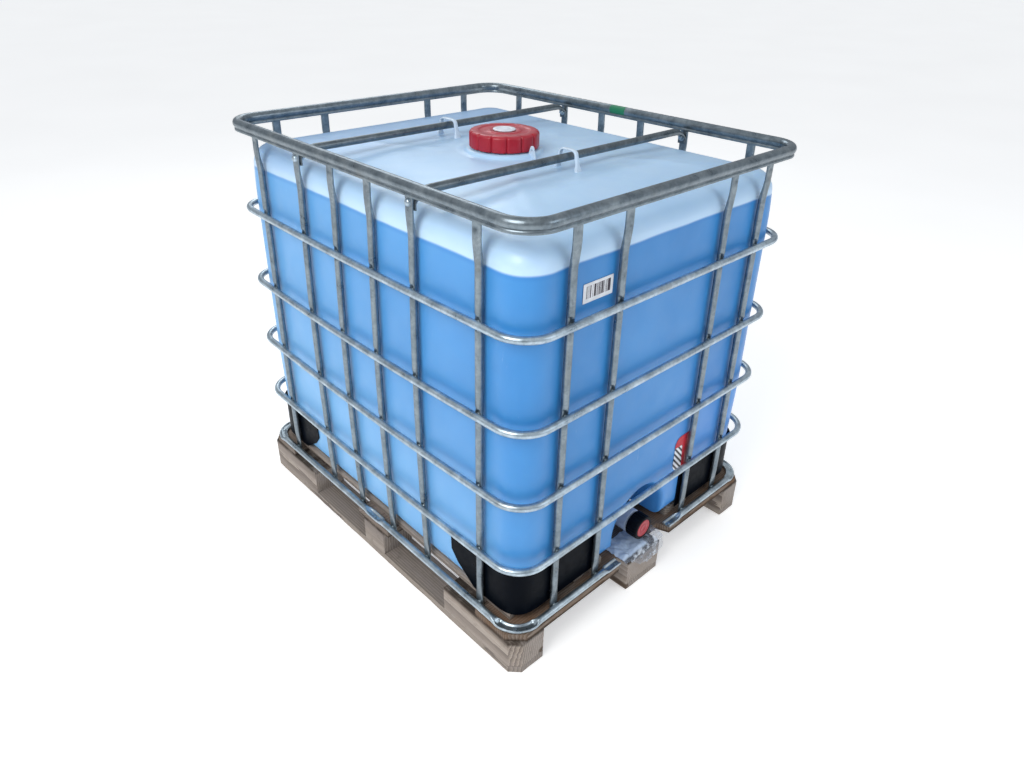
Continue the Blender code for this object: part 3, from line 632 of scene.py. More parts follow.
def crossings():
    """(point on the ring's centre line, outward direction) wherever an upright meets a ring."""
    found = []
    for side, axis, sign, count in SIDES:
        for number in range(1, count + 1):
            middle = centre("upright_" + side + "_" + str(number))
            for z in RING_Z:
                if axis == 0:
                    x = sign * (RING_HALF_X + side_bow(middle.y, z))
                    found.append((Vector((x, middle.y, z)), Vector((sign, 0, 0))))
                else:
                    found.append((Vector((middle.x, sign * RING_HALF_Y, z)), Vector((0, sign, 0))))
    return found


def make_rings():
    spots = crossings()
    for name, z in zip(RING_NAMES, RING_Z):
        stops = [k * 0.0125 for k in range(-40, 41)]
        shorts = [k * 0.0125 for k in range(-32, 33)]
        outline = rounded_outline(RING_HALF_X, RING_HALF_Y, RING_RADIUS, 14, stops, shorts)
        path = [Vector((x + math.copysign(side_bow(y, z), x) * min(1, abs(x) / 0.40), y, z))
                for x, y in outline]
        near = [min(((p - s).length for s, _ in spots if abs(s.z - z) < 0.001)) for p in path]

        def press(i, angle, near=near):
            inward = math.cos(angle - math.pi)
            return 0.0012 * math.exp(-(near[i] / 0.016) ** 2) * max(0.0, inward) ** 2

        shape = (TUBE, TUBE, 0.0, 0.0, 2.0)
        # an anticlockwise path has its normal outside when the axis points down
        build(name + "_tube", sweep(path, (0, 0, -1), [shape] * len(path), closed=True, around=24,
                                    dent=press), STEEL, 60, nodes=(name,))


def weld(point, direction, spread, depth, seed):
    """A small cushion of weld metal between two tubes."""
    draw = random.Random(seed)
    side = UP.cross(direction)
    loops = []
    for step in range(6):
        t = step / 5
        reach = spread * (0.45 + 0.55 * math.sin(math.pi * (0.12 + 0.76 * t)))
        loop = []
        for k in range(10):
            angle = math.tau * k / 10
            r = reach * draw.uniform(0.86, 1.06)
            loop.append(point + direction * (depth * (t - 0.5)) + side * r * math.cos(angle)
                        + UP * r * math.sin(angle))
        loops.append(loop)
    return loft(loops)


def make_welds():
    parts = []
    for index, (point, out) in enumerate(crossings()):
        parts.append(weld(point - out * (TUBE + 0.0014), out, 0.0058, 0.0064, index))
    for side, axis, sign, count in SIDES:
        for number in range(1, count + 1):
            middle = centre("upright_" + side + "_" + str(number))
            out = Vector((sign, 0, 0)) if axis == 0 else Vector((0, sign, 0))
            reach = (RAIL_HALF_X if axis == 0 else RAIL_HALF_Y) - TUBE
            at = out * (reach - 0.0003) + (Vector((0, middle.y, 0)) if axis == 0 else Vector((middle.x,
                    0, 0)))
            at.z = RAIL_Z
            parts.append(weld(at, out, 0.0058, 0.0070, 500 + number * 7 + axis * 50 + sign))
    build("cage_welds", merge(parts), STEEL, 60)


def make_top_rail():
    """A round tube with a narrow folded lip along its lower side."""
    big = 0.0130
    middle_z = TOP_RAIL_HIGH - 0.0004 - big
    outline = []
    for degrees in range(-46, 227, 15):
        angle = math.radians(degrees)
        outline.append((big * math.cos(angle), middle_z + big * math.sin(angle)))
    left = fillet([(-0.0089, middle_z - 0.0094), (-0.0080, middle_z - 0.0108),
                   (-0.0098, middle_z - 0.0128),
                   (-0.0100, TOP_RAIL_LOW + 0.0002), (-0.0070, TOP_RAIL_LOW + 0.0002)], 0.0016, 2)
    outline += left
    outline += [(-x, z) for x, z in reversed(left)]
    outline = [p for i, p in enumerate(outline) if (Vector(p) - Vector(outline[i - 1])).length > 1e-5]
    stops = [k * 0.02 for k in range(-25, 26)]
    shorts = [k * 0.02 for k in range(-20, 21)]
    path = rounded_outline(TOP_RAIL_HALF_X, TOP_RAIL_HALF_Y, TOP_RAIL_CORNER, 20, stops, shorts)
    loops = []
    for i, (x, y) in enumerate(path):
        before = Vector(path[i - 1])
        after = Vector(path[(i + 1) % len(path)])
        tangent = (after - before).normalized()
        out = Vector((tangent.y, -tangent.x, 0))
        loops.append([Vector((x, y, 0)) + out * a + Vector((0, 0, z)) for a, z in outline])
    build("cage_top_rail_tube", loft(loops, closed=True), STEEL_RAIL, 50, nodes=("cage_top_rail",))


PRESSED_LENGTH = 0.048           # half length of the pressed spots on the bottom rail
TRAY_HALF = 0.0048               # half height of the rims beside a pressed spot
TRAY_DEPTH = 0.0050


def rail_screw_spots():
    """Places along the bottom rail where it is pressed flat and screwed down."""
    diagonal = RAIL_RADIUS * (1 - math.sqrt(0.5))
    x, y = RAIL_HALF_X - diagonal, RAIL_HALF_Y - diagonal
    spots = [(sx * x, sy * y) for sx in (-1, 1) for sy in (-1, 1)]
    spots += [(-RAIL_HALF_X, 0.0), (RAIL_HALF_X, 0.0)]
    spots += [(-RAIL_END_X - 0.011, -RAIL_HALF_Y), (RAIL_END_X + 0.011, -RAIL_HALF_Y)]
    return spots


def make_bottom_rail():
    stops = [k * 0.01 for k in range(-52, 53)]
    backs = [k * 0.02 for k in range(-21, 22)]
    outline = rounded_outline(RAIL_HALF_X, RAIL_HALF_Y, RAIL_RADIUS, 30, stops, backs)
    # drop the front straight, then add it again up to the open ends
    kept = [(x, y) for x, y in outline if not (y < -RAIL_HALF_Y + 1e-6 and abs(x) < RAIL_HALF_X
                                               - RAIL_RADIUS)]
    split = [i for i, (x, y) in enumerate(kept) if x < 0 and y < -RAIL_HALF_Y + 0.02][-1]
    kept = kept[split + 1:] + kept[:split + 1]
    front = list(np.arange(RAIL_END_X, RAIL_HALF_X - RAIL_RADIUS, 0.008))
    line = [(x, -RAIL_HALF_Y) for x in front] + kept + [(-x, -RAIL_HALF_Y) for x in reversed(front)]
    path = [Vector((x, y, RAIL_Z)) for x, y in line]
    spots = [Vector((x, y, RAIL_Z)) for x, y in rail_screw_spots()]
    reach = [PRESSED_LENGTH] * 4 + [0.026] * 2 + [0.036] * 2
    flat = []
    for point in path:
        amount = 0.0
        for spot, half in zip(spots, reach):
            gap = (point - spot).length
            amount = max(amount, 1.0 - smoothstep(gap, half, half + 0.012))
        flat.append(amount)
    shapes = []
    for amount in flat:
        wide = TUBE + (FLAT_HALF - TUBE) * amount
        tall = TUBE + (TRAY_HALF - TUBE) * amount
        shapes.append((wide, tall, TUBE - wide, TUBE - tall, 2.0 + 1.6 * amount))

    def press(i, angle):
        if math.sin(angle) > 0:
            return 0.0
        return TRAY_DEPTH * flat[i] * (1.0 - smoothstep(abs(math.cos(angle)), 0.30, 0.78))

    build("cage_bottom_rail_tube", sweep(path, (0, 0, -1), shapes, around=40, dent=press), STEEL, 50,
          nodes=("cage_bottom_rail",))


def make_crossbar(name):
    y = centre(name).y
    half_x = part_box(name)[1].x
    tab = half_x - FLAT_THICK
    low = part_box(name)[0].z
    radius = 0.010
    keys = [(0.0, BAR_Z, radius, radius, 2.0), (0.428, BAR_Z, radius, radius, 2.0),
            (0.446, BAR_Z - 0.0012, 0.0084, 0.0108, 2.4), (0.457, BAR_Z - 0.0052, 0.0055, 0.0119, 2.8),
            (0.4662, BAR_Z - 0.0117, FLAT_THICK, FLAT_HALF, 3.4),
            (tab - 0.0014, BAR_Z - 0.0182, FLAT_THICK, FLAT_HALF, 3.6),
            (tab, BAR_Z - 0.0228, FLAT_THICK, FLAT_HALF, 3.6), (tab, low, FLAT_THICK, FLAT_HALF, 3.6)]
    keys = [(-x, z, a, b, p) for x, z, a, b, p in reversed(keys[1:])] + keys
    lengths = [0.0]
    for first, second in zip(keys, keys[1:]):
        lengths.append(lengths[-1] + math.hypot(second[0] - first[0], second[1] - first[1]))
    along = np.unique(np.concatenate([np.arange(0.0, 0.09, 0.0025),
                                      np.arange(0.09, lengths[-1] - 0.09, 0.02),
                                      np.arange(lengths[-1] - 0.09, lengths[-1], 0.0025), [lengths[-1]]]))
    columns = [np.interp(along, lengths, [key[c] for key in keys]) for c in range(5)]
    path = [Vector((x, y, z)) for x, z in zip(columns[0], columns[1])]
    shapes = [(a, b, 0.0, 0.0, p) for a, b, p in zip(columns[2], columns[3], columns[4])]
    build(name + "_tube", sweep(path, (0, 1, 0), shapes, around=24), STEEL_BAR, 60, nodes=(name,))


# ---------------------------------------------------------------- fixings
def hexagon(origin, axis, across, start, end):
    """A nut: six chamfered flats round an axis."""
    axis = Vector(axis)
    first = UP if abs(axis.z) < 0.5 else Vector((1, 0, 0))
    second = axis.cross(first)
    loops = []
    height = end - start
    for t, grow in ((0.0, 0.90), (0.12, 1.0), (0.88, 1.0), (1.0, 0.88)):
        loop = []
        for k in range(24):
            angle = math.tau * k / 24
            nearest = (angle + math.pi / 6) % (math.pi / 3) - math.pi / 6
            r = across / math.cos(nearest)
            r = min(r, across * 1.13) * grow
            loop.append(Vector(origin) + (first * math.cos(angle) + second * math.sin(angle)) * r
                        + axis * (start + height * t))
        loops.append(loop)
    return loft(loops)


def make_bolts():
    """The domed bolts that hold the crossbars to the upright heads, with their nuts and washers."""
    for name in ("crossbar_front", "crossbar_back"):
        y = centre(name).y
        for sign in (-1, 1):
            out = Vector((sign, 0, 0))
            at = Vector((0, y, UPRIGHT_HEAD - 0.0165))
            face = UPRIGHT_X + HEAD_SHIFT + HEAD_THICK
            dome = [(0.0001, 0.0062)] + [(0.0088 * math.sin(a), 0.0006 + 0.0056 * math.cos(a))
                                         for a in (0.3, 0.6, 0.9, 1.2, 1.45, 1.57)]
            dome += [(0.0098, 0.0004), (0.0100, -0.0004), (0.0040, -0.0006), (0.0001, -0.0006)]
            parts = [turned([(r, face + d) for r, d in dome], at, out, 24, closed=False)]
            inner = UPRIGHT_X + HEAD_SHIFT - HEAD_THICK - 2 * FLAT_THICK
            washer = [(0.0042, 0.0), (0.0098, 0.0), (0.0100, -0.0006), (0.0098, -0.0014),
                      (0.0042, -0.0014)]
            parts.append(turned([(r, inner - 0.0003 + d) for r, d in washer], at, out, 24))
            parts.append(hexagon(at, out, 0.0064, inner - 0.0078, inner - 0.0018))
            stud = [(0.0001, -0.0125), (0.0030, -0.0125), (0.0038, -0.0115), (0.0038, -0.0070),
                    (0.0001, -0.0070)]
            parts.append(turned([(r, inner + d) for r, d in stud], at, out, 16, closed=False))
            points, faces = merge(parts)
            side = "left" if sign < 0 else "right"
            place(make_object("bolt_" + name + "_" + side, points, faces, STEEL_BRIGHT, 35))


def screw_head(at, radius=0.0068, height=0.0026):
    """A pan head with a cross recess."""
    profile = [(0.0001, height * 0.45), (radius * 0.30, height * 0.45), (radius * 0.36, height * 0.98),
               (radius * 0.62, height), (radius * 0.86, height * 0.78), (radius, height * 0.25),
               (radius, -0.0008), (0.0001, -0.0008)]

    def cross(angle, i):
        return radius * 0.16 * math.cos(4 * angle) if i in (1, 2) else 0.0

    return turned(profile, at, (0, 0, 1), 32, closed=False, wave=cross)


def make_screws():
    parts = []
    for x, y in rail_screw_spots():
        parts.append(screw_head(Vector((x, y, RAIL_Z - TUBE + 2 * TRAY_HALF - TRAY_DEPTH + 0.0004))))
    build("rail_screws", merge(parts), STEEL_BRIGHT, 35)


# ---------------------------------------------------------------- bottle
def bottle_point(x, y, z, scale=1.0):
    """Adds the bow of the long sides and slow waves of the blown wall."""
    bow = side_bow(y, z) * min(1.0, abs(x) / 0.32)
    wave = 0.0013 * noise.noise(Vector((3.1 * x, 3.1 * y + 7.0, 3.4 * z))) * scale
    out_x, out_y = corner_swell(x, y, z)
    return Vector((x + math.copysign(bow + wave, x) + out_x, y + math.copysign(wave, y) + out_y, z))


def corner_swell(x, y, z):
    """The full bottle rounds out between the last uprights, most of all at mid height."""
    u = abs(x) - (BOTTLE_HALF_X - BOTTLE_CORNER - 0.04)
    v = abs(y) - (BOTTLE_HALF_Y - BOTTLE_CORNER - 0.04)
    if u <= 0 or v <= 0:
        return 0.0, 0.0
    angle = math.atan2(v, u)
    rise = smoothstep(z, 0.15, 0.50) * (1.0 - 0.6 * smoothstep(z, 0.95, 1.09))
    amount = BOTTLE_SWELL * rise * math.sin(2 * angle) ** 2
    return math.copysign(amount * math.cos(angle), x), math.copysign(amount * math.sin(angle), y)


BOTTLE_FOOT = 0.034
BOTTLE_SHOULDER = 0.052
BOTTLE_TOP = 1.090
BOSS_RADIUS = 0.108


def make_bottle():
    foot, shoulder, top = BOTTLE_FOOT, BOTTLE_SHOULDER, BOTTLE_TOP
    levels = []
    for step in range(9):
        angle = math.radians(90 * step / 8)
        levels.append((foot * (1 - math.sin(angle)), BOTTLE_FLOOR + foot * (1 - math.cos(angle))))
    levels += [(0.0, z) for z in np.linspace(0.20, 1.02, 34)]
    for step in range(1, 13):
        angle = math.radians(90 * step / 12)
        levels.append((shoulder * (1 - math.cos(angle)), top - shoulder * (1 - math.sin(angle))))
    stops = [k * 0.025 for k in range(-19, 20)]
    shorts = [k * 0.025 for k in range(-15, 16)]
    loops = []
    for inset, z in levels:
        outline = rounded_outline(BOTTLE_HALF_X - inset, BOTTLE_HALF_Y - inset,
                                  max(BOTTLE_CORNER - inset, 0.026), 14, stops, shorts)
        loops.append([bottle_point(x, y, z) for x, y in outline])
    # the crown: from the shoulder to the round boss under the neck
    edge = loops[-1]
    for step in range(1, 19):
        t = step / 18
        loop = []
        for p in edge:
            flat = Vector((p.x, p.y))
            target = flat.normalized() * BOSS_RADIUS
            here = flat.lerp(target, t)
            loop.append(Vector((here.x, here.y, crown_height(here.x, here.y, t))))
        loops.append(loop)
    base = loops[-1]
    neck = [(0.104, 1.1040), (0.1015, 1.1085), (0.0985, 1.1105), (0.0950, 1.1112), (0.0800, 1.1114),
            (0.0782, 1.1122), (NECK_OUTER, 1.1140), (NECK_OUTER, 1.1450), (NECK_OUTER - 0.0008, 1.1458),
            (NECK_INNER + 0.0008, 1.1458), (NECK_INNER, 1.1450), (NECK_INNER, 1.0700)]
    for radius, z in neck:
        loops.append([Vector((p.x, p.y, 0)).normalized() * radius + Vector((0, 0, z)) for p in base])
    points, faces = loft(loops)
    bottle = make_object("bottle_shell", points, faces, BOTTLE, 42)
    cutter = recess_cutter()
    step = bottle.modifiers.new("recess", "BOOLEAN")
    step.operation = "DIFFERENCE"
    step.solver = "EXACT"
    step.object = cutter
    with bpy.context.temp_override(object=bottle, active_object=bottle):
        bpy.ops.object.modifier_apply(modifier="recess")
    bpy.data.objects.remove(cutter)
    bottle.data.shade_smooth()
    bottle.data.set_sharp_from_angle(angle=math.radians(42))
    place(bottle, nodes=("bottle",))


def crown_height(x, y, t):
    """The bottle's top: a shallow dome with raised panels and soft folds towards the neck."""
    dome = 1.090 + 0.0115 * math.sin(0.5 * math.pi * min(1.0, t * 1.5))
    ridge = 0.0030 * math.exp(-((abs(y) - 0.335) / 0.020) ** 2) * min(1, 4 * t)
    fold = 0.0022 * math.exp(-((abs(x) - 0.62 * abs(y) - 0.03) / 0.022) ** 2) * math.sin(math.pi * min(1,
            t * 1.1))
    panel = -0.0035 / (1 + math.exp((abs(y) - 0.300) / 0.010)) * min(1, 3 * t) * (1 - t) * 1.6
    slow = 0.0016 * noise.noise(Vector((5.0 * x, 5.0 * y, 3.0))) * min(1, 3 * t)
    return dome + ridge + fold + panel + slow


def recess_cutter():
    """The arched valve recess; it flares at its mouth so that the edge comes out rounded."""
    low = 0.10
    spring = 0.195
    half = 0.105
    mouth = -BOTTLE_HALF_Y
    steps = [(mouth - 0.030, 0.0280), (mouth - 0.0012, 0.0115), (mouth + 0.0008, 0.0080),
             (mouth + 0.0040, 0.0042), (mouth + 0.0090, 0.0014), (mouth + 0.0160, 0.0),
             (-0.4640, -0.0010), (-0.4560, -0.0040), (-0.4520, -0.0090), (-0.4500, -0.0160)]
    loops = []
    for y, grow in steps:
        reach = half + grow
        loop = [Vector((-reach, y, low)), Vector((reach, y, low))]
        for k in range(29):
            angle = math.pi * k / 28
            loop.append(Vector((reach * math.cos(angle), y, spring + reach * math.sin(angle))))
        loops.append(loop)
    points, faces = loft(loops)
    return make_object("recess_cutter", points, faces, BOTTLE, 42)


def strap(name, y_front, y_back, top, lean, wide=0.0062, thick=0.0026):
    """One moulded loop that stands on the seam and goes over a crossbar."""
    foot = 1.098
    line = [(y_front, foot), (y_front + lean, top - 0.004), (y_front + lean + 0.009, top),
            (y_back - lean - 0.009, top), (y_back - lean, top - 0.004), (y_back, foot)]
    line = fillet(line, 0.012, 4)
    spaced = []
    for first, second in zip(line, line[1:]):
        spaced.append(first)
        if math.dist(first, second) > 0.006:
            spaced.append(((first[0] + second[0]) / 2, (first[1] + second[1]) / 2))
    spaced.append(line[-1])
    path = [Vector((0.0, a, b)) for a, b in spaced]
    shapes = []
    for point in path:
        flare = 1.0 + 0.9 * max(0.0, 1.0 - (point.z - foot) / 0.010) ** 2
        shapes.append((thick * flare, wide * flare, 0.0, 0.0, 3.4))
    build(name, sweep(path, (1, 0, 0), shapes, around=20), BOTTLE_TRIM, 50)


def make_stub():
    """The bottle's own spout, between the back of the recess and the valve."""
    back, front = 0.4497, 0.4699
    profile = [(0.0241, back), (0.0350, back), (0.0334, back + 0.0022), (0.0329, back + 0.0050),
               (0.0329, front - 0.0012), (0.0320, front), (0.0250, front), (0.0241, front - 0.0010)]
    build("bottle_spout", turned(profile, (0, 0, VALVE_Z), (0, -1, 0), 48), BOTTLE_TRIM, 45)


def make_seam_parts():
    front = centre("crossbar_front").y
    back = centre("crossbar_back").y
    strap("bottle_loop_front", front - 0.034, front + 0.036, 1.1475, 0.010)
    strap("bottle_loop_back", back - 0.040, back + 0.040, 1.1465, 0.010)
    # the pierced lug beside the cap, for a seal wire
    lug_y = -0.106
    outline = fillet([(0.0, 1.098), (0.0165, 1.098), (0.0105, 1.114), (0.0042, 1.1320), (-0.0042, 1.1320),
                      (-0.0105, 1.114), (-0.0165, 1.098), (0.0, 1.098)], 0.004, 4)
    count = len(outline)
    hole = [(0.0030 * math.cos(math.tau * k / count + math.pi * 1.5),
             1.1215 + 0.0030 * math.sin(math.tau * k / count + math.pi * 1.5)) for k in range(count)]
    loops = []
    for x, ring in ((-0.0016, outline),
                    (-0.0024, [(a * 0.93, 1.115 + (z - 1.115) * 0.95) for a, z in outline]),
                    (-0.0024, hole), (0.0024, hole),
                    (0.0024, [(a * 0.93, 1.115 + (z - 1.115) * 0.95) for a, z in outline]), (0.0016,
                            outline)):
        loops.append([Vector((x, lug_y + a, z)) for a, z in ring])
    build("bottle_seal_lug", loft(loops, closed=True), BOTTLE_TRIM, 50)


BOTTLE_TRIM = moulded("bottle_trim_plastic", (0.66, 0.80, 0.95), 0.36, 0.06, (0.50, 0.60, 0.70), 200)


# ---------------------------------------------------------------- filling cap
def make_cap():
    lobes = 14
    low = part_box("fill_cap")[0].z
    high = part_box("fill_cap")[1].z
    outer = 0.0929
    skirt = [(0.0822, low + 0.0002), (outer - 0.0012, low + 0.0002), (outer - 0.0002, low + 0.0012),
             (outer, low + 0.006), (outer, high - 0.0075), (outer - 0.0008, high - 0.0050),
             (outer - 0.0032, high - 0.0022), (outer - 0.0065, high - 0.0008), (outer - 0.0105, high
                     - 0.0003)]
    top = [(0.0700, high - 0.0002), (0.0680, high - 0.0008), (0.0665, high - 0.0020),
           (0.0640, high - 0.0026),
           (0.0480, high - 0.0026), (0.0455, high - 0.0020), (0.0445, high - 0.0010), (0.0420, high
                   - 0.0006),
           (0.0340, high - 0.0006), (0.0322, high - 0.0012), (0.0258, high - 0.0012), (0.0258, 1.1503),
           (0.0815, 1.1503)]
    profile = skirt + top
    side_rows = range(1, 9)

    def lobe(angle, i):
        if i not in side_rows:
            return 0.0
        phase = (angle * lobes / math.tau) % 1.0
        groove = math.exp(-(min(phase, 1 - phase) / 0.055) ** 2)
        fade = {7: 0.7, 8: 0.35}.get(i, 1.0)
        swell = 0.0006 * math.sin(math.pi * phase) - 0.0005
        return (-0.0040 * groove + swell) * fade

    build("fill_cap_shell", turned(profile, (0, 0, 0), (0, 0, 1), lobes * 16, wave=lobe), RED, 38,
          "fill_cap_turn", ("fill_cap",))

    z = high + 0.0003
    top_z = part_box("vent_plug")[1].z - 0.0001
    profile = [(0.0001, z + 0.0012), (0.0065, z + 0.0012), (0.0075, z + 0.0022), (0.0090, z + 0.0026),
               (0.0150, z + 0.0026), (0.0162, z + 0.0020), (0.0178, z + 0.0020), (0.0190, top_z - 0.0002),
               (0.0215, top_z), (0.0280, top_z - 0.0002), (0.0294, top_z - 0.0008), (0.0299, top_z
                       - 0.0018),
               (0.0299, z), (0.0252, z), (0.0252, 1.1400), (0.0244, 1.1392), (0.0001, 1.1392)]

    def notch(angle, i):
        ribs = 0.0006 * math.cos(24 * angle) if 10 <= i <= 12 else 0.0
        star = 0.0016 * math.cos(3 * angle) if i in (1, 2) else 0.0
        return ribs + star

    build("vent_plug_shell", turned(profile, (0, 0, 0), (0, 0, 1), 96, closed=False, wave=notch), WHITE,
          38, "fill_cap_turn", ("vent_plug",))


# ---------------------------------------------------------------- valve
def make_valve():
    axis = (0, -1, 0)
    origin = (0, 0, VALVE_Z)
    low_y = -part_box("valve_body")[1].y
    front = -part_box("valve_body")[0].y
    body_front = front - 0.027
    profile = [(0.0226, low_y), (0.0395, low_y), (0.0409, low_y + 0.0012), (0.0409, low_y + 0.0065),
               (0.0398, low_y + 0.0078), (0.0345, low_y + 0.0084), (0.0328, low_y + 0.0110),
               (0.0328, low_y + 0.0200), (0.0312, low_y + 0.0212), (0.0312, low_y + 0.0290),
               (0.0328, low_y + 0.0305), (0.0329, body_front - 0.0030), (0.0302, body_front),
               (0.0258, body_front + 0.0008)]
    turn = body_front + 0.0020
    while turn < front - 0.004:
        profile += [(0.0254, turn), (0.0271, turn + 0.0016), (0.0271, turn + 0.0026),
                    (0.0254, turn + 0.0042)]
        turn += 0.0060
    profile += [(0.0262, front - 0.0006), (0.0256, front), (0.0226, front)]

    def rib(angle, i):
        return 0.0007 * max(0.0, math.cos(8 * angle)) if 6 <= i <= 11 else 0.0

    points, faces = turned(profile, origin, axis, 64, wave=rib)
    boss = [(0.0001, 0.2020), (0.0124, 0.2020), (0.0124, 0.2215), (0.0116, 0.2235), (0.0095, 0.2240),
            (0.0095, 0.2254), (0.0054, 0.2256), (0.0001, 0.2256)]
    more = turned(boss, (0, STEM_Y, 0), (0, 0, 1), 32, closed=False)
    build("valve_body_shell", merge([(points, faces), more]), MILKY, 40, nodes=("valve_body",))

    make_lever()

    start = -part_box("outlet_cap")[1].y
    end = -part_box("outlet_cap")[0].y
    profile = [(0.0286, start), (0.0345, start), (0.0356, start + 0.0012), (0.0356, end - 0.0060),
               (0.0350, end - 0.0030), (0.0335, end - 0.0008), (0.0315, end), (0.0272, end),
               (0.0266, end - 0.0010), (0.0264, end - 0.0022), (0.0001, end - 0.0022),
               (0.0001, end - 0.0094), (0.0286, end - 0.0094)]

    def knurl(angle, i):
        return -0.0011 * (0.5 - 0.5 * math.cos(24 * angle)) ** 3 if 1 <= i <= 4 else 0.0

    build("outlet_cap_shell", turned(profile, origin, axis, 144, wave=knurl), BLACK, 38,
          "outlet_cap_turn", ("outlet_cap",))

    disc = [(0.0001, end - 0.0009), (0.0085, end - 0.0009), (0.0092, end - 0.0004),
            (0.0120, end - 0.0003),
            (0.0128, end - 0.0008), (0.0205, end - 0.0008), (0.0213, end - 0.0003), (0.0246, end
                    - 0.0003),
            (0.0256, end - 0.0009), (0.0257, end - 0.0021), (0.0001, end - 0.0021)]
    build("outlet_cap_disc", turned(disc, origin, axis, 64, closed=False), RED, 38, "outlet_cap_turn")


def make_lever():
    """The black handle: a hub, a waisted arm with raised rims and a rounded tip."""
    low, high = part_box("valve_handle")
    z0, z1 = low.z, high.z
    length = -low.x
    stations = [(0.0132, 0.0020), (0.0105, 0.0084), (0.0040, 0.0126), (-0.0060, 0.0127),
                (-0.0135, 0.0098),
                (-0.0220, 0.0082), (-0.0400, 0.0078), (-0.0580, 0.0086), (-0.0700, 0.0096),
                (-length + 0.0045, 0.0090), (-length + 0.0012, 0.0060), (-length + 0.0002, 0.0020)]
    loops = []
    for x, half in stations:
        top = z1 - 0.0003 - 0.0035 * max(0.0,
                                         math.sin(math.pi * min(1.0, (0.013 - x) / 0.05))) * (x < -0.012)
        under = z0 + 0.0002 + (0.0030 if x < -0.016 else 0.0)
        groove = 0.0014 if -0.066 < x < -0.020 else 0.0
        rim = min(0.0022, half * 0.5)
        section = [(-half, under + 0.0018), (-half, top - 0.0018), (-half + 0.0012, top - 0.0004),
                   (-half + rim, top), (-half + rim * 1.6, top - groove), (half - rim * 1.6, top
                           - groove),
                   (half - rim, top), (half - 0.0012 if half > 0.003 else half, top - 0.0004),
                   (half, top - 0.0018), (half, under + 0.0018), (half - min(0.0018, half * 0.5), under),
                   (-half + min(0.0018, half * 0.5), under)]
        loops.append([Vector((x, STEM_Y + a, z)) for a, z in section])
    parts = [loft(loops)]
    cap = [(0.0001, z1 - 0.0001), (0.0050, z1 - 0.0001), (0.0062, z1 - 0.0008), (0.0064, z1 - 0.0030),
           (0.0001, z1 - 0.0030)]
    parts.append(turned(cap, (0, STEM_Y, 0), (0, 0, 1), 24, closed=False))
    build("valve_handle_shell", merge(parts), BLACK, 45, "valve_lever", ("valve_handle",))


def make_film():
    """What is left of a clear bag round the valve: it lies on the board and hangs over its edge."""
    look = Look("clear_film")
    crease = look.remap(look.noise(38, 3, 0.6), 0.40, 0.72)
    sleeve = look.times(look.remap(look.axis("Y"), -0.6015, -0.594),
                        look.remap(look.axis("X"), 0.03, 0.0))
    # Painted highlight: where the crinkle noise is high the film's colour turns near white, for the glints on its
    # crinkles.
    clear = look.ramp(crease, [(0.0, (0.25, 0.29, 0.36)), (1.0, (0.74, 0.80, 0.88))])
    look.put("Base Color", look.mix(sleeve, clear, (0.50, 0.62, 0.80)))
    thin = look.remap(crease, 0.0, 1.0, 0.34, 0.80)
    look.put("Alpha", look.maths("MAXIMUM", thin, look.times(sleeve, 0.95)))
    look.put("Roughness", look.remap(crease, 0.0, 1.0, 0.16, 0.34))
    look.put("IOR", 1.45)
    look.bump(look.noise(120, 4, 0.7), 0.5, 0.0015)
    across, along = 64, 44
    run = [(0.0, (-0.520, 0.1232)), (0.48, (-0.590, 0.1232)), (0.60, (-0.6002, 0.1190)),
           (1.0, (-0.6010, FILM_LOW))]
    rows = []
    for j in range(along + 1):
        t = j / along
        rows.append([])
        for i in range(across + 1):
            u = i / across
            x = -0.096 + 0.172 * u
            reach = t * (0.62 + 0.38 * math.sin(math.pi * min(1.0, 0.22 + 0.9 * (1 - u))))
            for (t0, p0), (t1, p1) in zip(run, run[1:]):
                if t0 <= reach <= t1:
                    break
            k = (reach - t0) / (t1 - t0)
            y, z = p0[0] + (p1[0] - p0[0]) * k, p0[1] + (p1[1] - p0[1]) * k
            spot = Vector((x * 27, reach * 3.0, 2.0))
            fold = abs(noise.noise(spot)) + 0.55 * abs(noise.noise(spot * 2.3)) + 0.3 * abs(noise.noise(spot * 5.1))
            rise = 0.0105 * fold
            over = min(max((reach - 0.50) / 0.10, 0.0), 1.0)
            shift = 0.004 * noise.noise(spot * 1.3 + Vector((9, 0, 0)))
            rows[-1].append(Vector((x + shift, y - min(rise, 0.0072) * over, z
                                    + min(rise, 0.0135) * (1 - over))))
    points = [p for row in rows for p in row]
    wide = across + 1
    faces = [(j * wide + i, j * wide + i + 1, (j + 1) * wide + i + 1, (j + 1) * wide + i)
             for j in range(along) for i in range(across)]
    film = place(make_object("valve_film", points, faces, look.material, 60))


FILM_LOW = 0.062


# ---------------------------------------------------------------- protectors
def make_protectors():
    names = {(-1, -1): "front_left", (1, -1): "front_right", (-1, 1): "back_left", (1, 1): "back_right"}
    for (sx, sy), suffix in names.items():
        node = "corner_protector_" + suffix
        low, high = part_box(node)
        make_protector(node, sx, sy, low.z, high.z)


def make_protector(node, sx, sy, low, high):
    """A shell round one corner: thicker lip, slanted end on the long side."""
    wall = 0.0026
    clear = 0.0009
    steps = 40
    rows = []
    heights = [low + 0.0004, low + 0.006, low + 0.020, low + 0.045, low + 0.075, low + 0.100,
               high - 0.026, high - 0.0135, high - 0.0125, high - 0.0040, high - 0.0030, high - 0.0004]
    for index, z in enumerate(heights):
        lip = 0.0034 if index in (8, 9) else 0.0
        slant = max(0.0, 1.0 - (z - low) / 0.062)
        end_y = 0.326 + 0.085 * slant
        inner = []
        outer = []
        for k in range(steps + 1):
            t = k / steps
            for offset, target in ((clear, inner), (clear + wall + lip, outer)):
                target.append(protector_point(t, offset, z, end_y, sx, sy))
        rows.append(inner + list(reversed(outer)))
    build(node + "_shell", loft(rows), BLACK_SHELL, 45, nodes=(node,))


